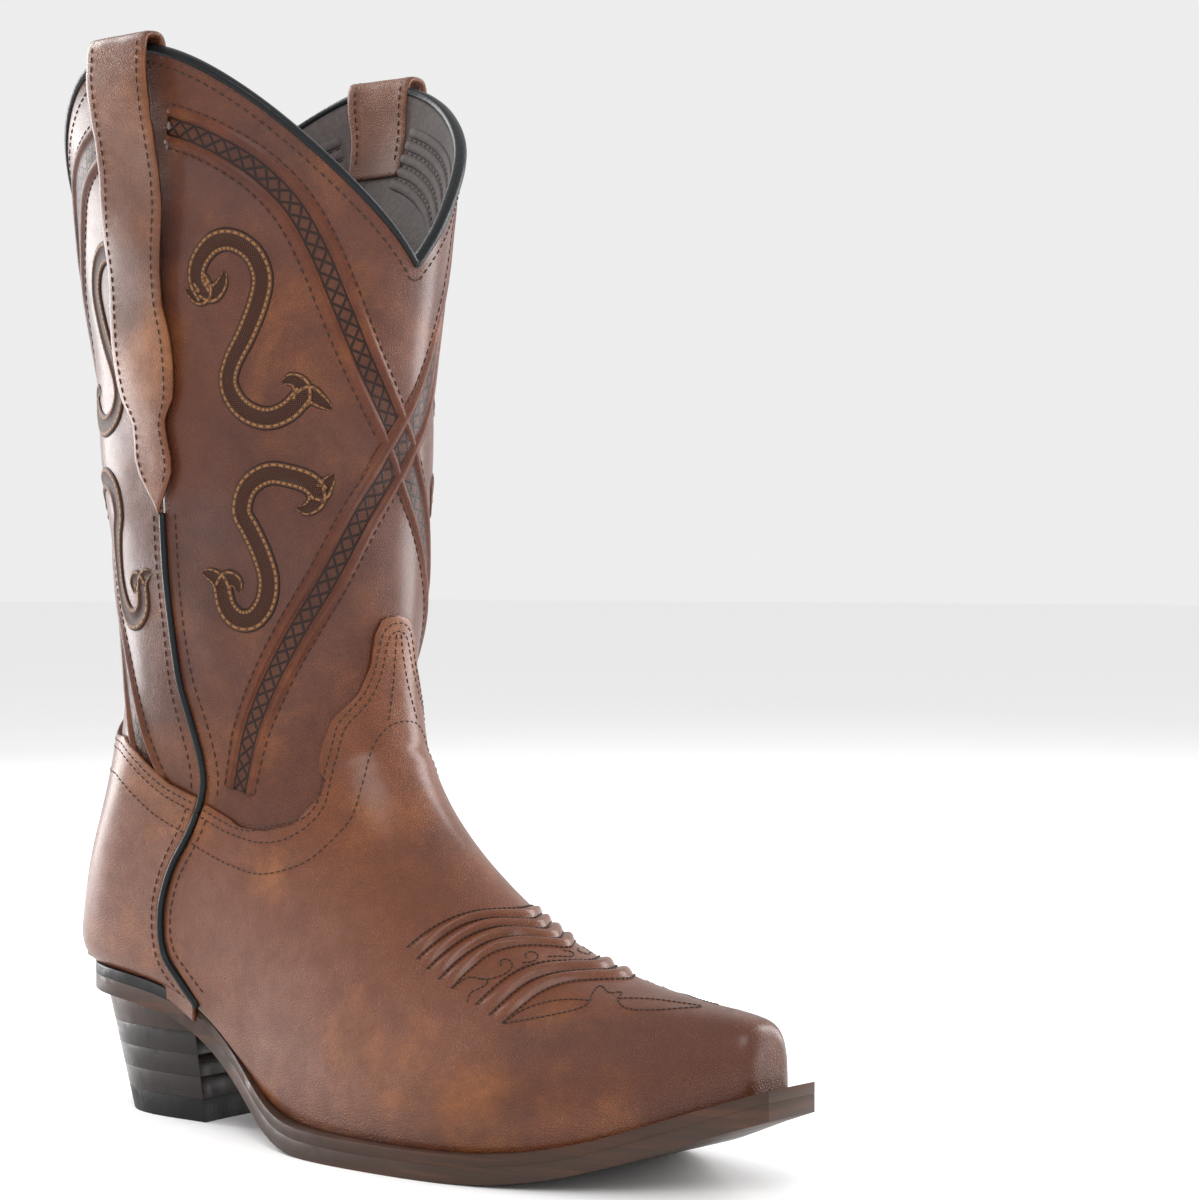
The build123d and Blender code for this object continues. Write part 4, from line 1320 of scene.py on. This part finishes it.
def edge_rows(border, hand, distances):
    """Stitch lines that follow a cut edge of the foot leather at several distances."""
    rows = []
    for away in distances:
        inner = beside("foot", rounded(border.copy(), 6), hand * away * mm)[0]
        inner = clear_of(inner, border, away * mm)
        rows.append(seam("foot", rounded(even(inner, 1 * mm), 8), cover + 0.06 * mm))
    return rows


def build_edge_seams():
    """Stitch rows along the top line, the straps, the wing and tongue, and the counter."""
    rows = []
    for first, last in ((-86, 86), (94, 266)):
        turn = np.radians(np.linspace(first, last, 400))
        z = top_z(turn) - 5.0 * mm * top_stretch(turn)
        place, _ = on_chart(shaft_chart, shaft_row(z), as_column(turn), 0.0)
        rows.append(seam("shaft", place, 0.1 * mm))
    stitches("top_line_stitching", rows, dark_thread, 3.0, 2.1, 0.6)
    rows = []
    for side in (-1, 1):
        last = len(strap_run) - 4
        rows += [strap_seam(side, 2.3, 6, last), strap_seam(side, -2.3, 6, last)]
    stitches("strap_stitching", rows, dark_thread, 2.9, 2.0, 0.6)
    rows = []
    for side in (-1, 1):
        fold = np.array([end_point(side * y * mm, z * mm, 1) for y, z in tongue_fold])
        rows.append(seam("foot", curve(fold, 1 * mm), cover + 0.06 * mm))
    rows += edge_rows(vamp_border(), -1, (1.9, 4.3, 13.5))
    rows += edge_rows(counter_border(), 1, (1.9, 4.3, 12.0))
    stitches("foot_edge_stitching", rows, dark_thread, 2.3, 1.7, 0.5)


def build_toe_pattern():
    """Stitched ridges over the toe break, with fine thread scrolls between them and petals in front."""
    full = [curve(np.array(line + mirrored(line[:-1])[::-1]) * mm, 1.0 * mm) for line in toe_lines]
    count = 110
    lines = []
    for line in full:
        at = np.linspace(0, len(line) - 1, count)
        lines.append(np.stack([np.interp(at, np.arange(len(line)), line[:, k]) for k in range(3)], axis=1))
    half = 2.6
    ring = [(x, 1.55 * cos(x / half * pi / 2) ** 1.4 - 0.02) for x in np.linspace(-half, half, 13)]
    ring += [(2.2, -0.6), (-2.2, -0.6)]
    for number, (a, b) in enumerate([(0, 1), (1, 2), (2, 3), (3, 4), (5, 6), (6, 7)]):
        middle, _ = lay("foot", (lines[a] + lines[b]) / 2)
        middle = rounded(middle, 4)
        spread = np.linalg.norm(lines[a] - lines[b], axis=1) / (5.2 * mm)
        part = np.linspace(-1, 1, count)
        rise = 0.12 + 0.88 * np.clip((1 - np.abs(part)) / 0.5, 0, 1) ** 0.7
        strip(f"toe_ridge_{number + 1}", "foot", middle, ring, foot_hide,
              widths=np.clip(spread * 0.93, 0.5, 1.15), rises=rise, lift=cover)
    rows = [seam("foot", rounded(line.copy(), 3), cover + 0.3 * mm) for line in full]
    for curl in toe_curls:
        for points in (curl, mirrored(curl)):
            rows.append(seam("foot", curve(np.array(points) * mm, 0.6 * mm), cover + 0.05 * mm))
    stitches("toe_stitching", rows, dark_thread, 1.6, 1.5, 0.6)


def dressed(node, name, material, bevel, up=0.0):
    """Copy of a frame part with its edges eased, moved up where it would stand proud."""
    bm = bmesh.new()
    bm.from_mesh(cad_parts[node].data)
    bmesh.ops.remove_doubles(bm, verts=bm.verts, dist=0.000005)
    bmesh.ops.dissolve_limit(bm, angle_limit=radians(1.0), verts=bm.verts, edges=bm.edges)
    bmesh.ops.translate(bm, verts=bm.verts, vec=(0, 0, up * mm))
    mesh = bpy.data.meshes.new(name)
    bm.to_mesh(mesh)
    bm.free()
    piece = finish_piece(name, mesh, material, (node,))
    ease = piece.modifiers.new("eased", "BEVEL")
    ease.width = bevel * mm
    ease.segments = 2
    ease.limit_method = "ANGLE"
    ease.angle_limit = radians(45)
    ease.harden_normals = True
    return piece


def build_bottom():
    dressed("welt", "welt_strip", welt_edge, 0.5)
    dressed("outsole", "outsole_leather", sole_edge, 0.6)
    dressed("heel_rand", "heel_rand_strip", rand_edge, 0.5)
    dressed("heel_wedge", "heel_wedge_stack", wedge_edge, 0.15)
    for level in (1, 2, 3):
        dressed(f"heel_lift_{level}", f"heel_lift_{level}_stack", heel_edge, 0.05)
    dressed("heel_cap", "heel_cap_rubber", rubber, 0.4)
    dressed("shank_pegs", "shank_pegs_wood", wood, 0.1, 2.2)


# ---------------------------------------------------------------- studio
def build_floor():
    bm = bmesh.new()
    bmesh.ops.create_grid(bm, x_segments=2, y_segments=2, size=15)
    mesh = bpy.data.meshes.new("floor")
    bm.to_mesh(mesh)
    bm.free()
    floor = bpy.data.objects.new("floor", mesh)
    bpy.context.collection.objects.link(floor)
    material, _, shader = start_material("pale_floor")
    shader.inputs["Base Color"].default_value = (0.95, 0.95, 0.95, 1)
    shader.inputs["Roughness"].default_value = 0.9
    mesh.materials.append(material)
    world = bpy.data.worlds.new("studio")
    bpy.context.scene.world = world
    world.use_nodes = True
    world.node_tree.nodes["Background"].inputs["Color"].default_value = (1, 1, 1, 1)
    world.node_tree.nodes["Background"].inputs["Strength"].default_value = 0.85


def lamp(name, place, aim, size, watts):
    light = bpy.data.lights.new(name, "AREA")
    light.shape = "RECTANGLE"
    light.size, light.size_y = size
    light.energy = watts
    obj = bpy.data.objects.new(name, light)
    bpy.context.collection.objects.link(obj)
    obj.location = place
    obj.rotation_mode = "QUATERNION"
    obj.rotation_quaternion = (Vector(aim) - Vector(place)).to_track_quat("-Z", "Y")


def build_camera():
    azimuth, elevation = radians(40.52), radians(0.46)
    back = Vector((sin(azimuth) * cos(elevation), -cos(azimuth) * cos(elevation), sin(elevation)))
    data = bpy.data.cameras.new("camera")
    data.sensor_width = 36
    data.lens = 92.77
    obj = bpy.data.objects.new("camera", data)
    bpy.context.collection.objects.link(obj)
    obj.location = (0.65269, -0.68126, 0.17178)
    obj.rotation_mode = "QUATERNION"
    obj.rotation_quaternion = (-back).to_track_quat("-Z", "Y")
    bpy.context.scene.camera = obj


build_upper()
build_bands()
build_scrolls()
build_lining_ribs()
build_piping()
build_edge_seams()
build_toe_pattern()
build_bottom()
build_floor()
lamp("front_softbox", (1.1, -1.3, 1.5), (0, 0, 0.15), (1.0, 1.0), 16)
lamp("left_softbox", (-1.5, -0.1, 0.6), (0, 0, 0.17), (0.7, 1.6), 30)
lamp("right_softbox", (0.6, 1.5, 0.7), (0, 0, 0.15), (0.7, 1.6), 30)
build_camera()
bpy.context.scene.view_settings.view_transform = "Standard"
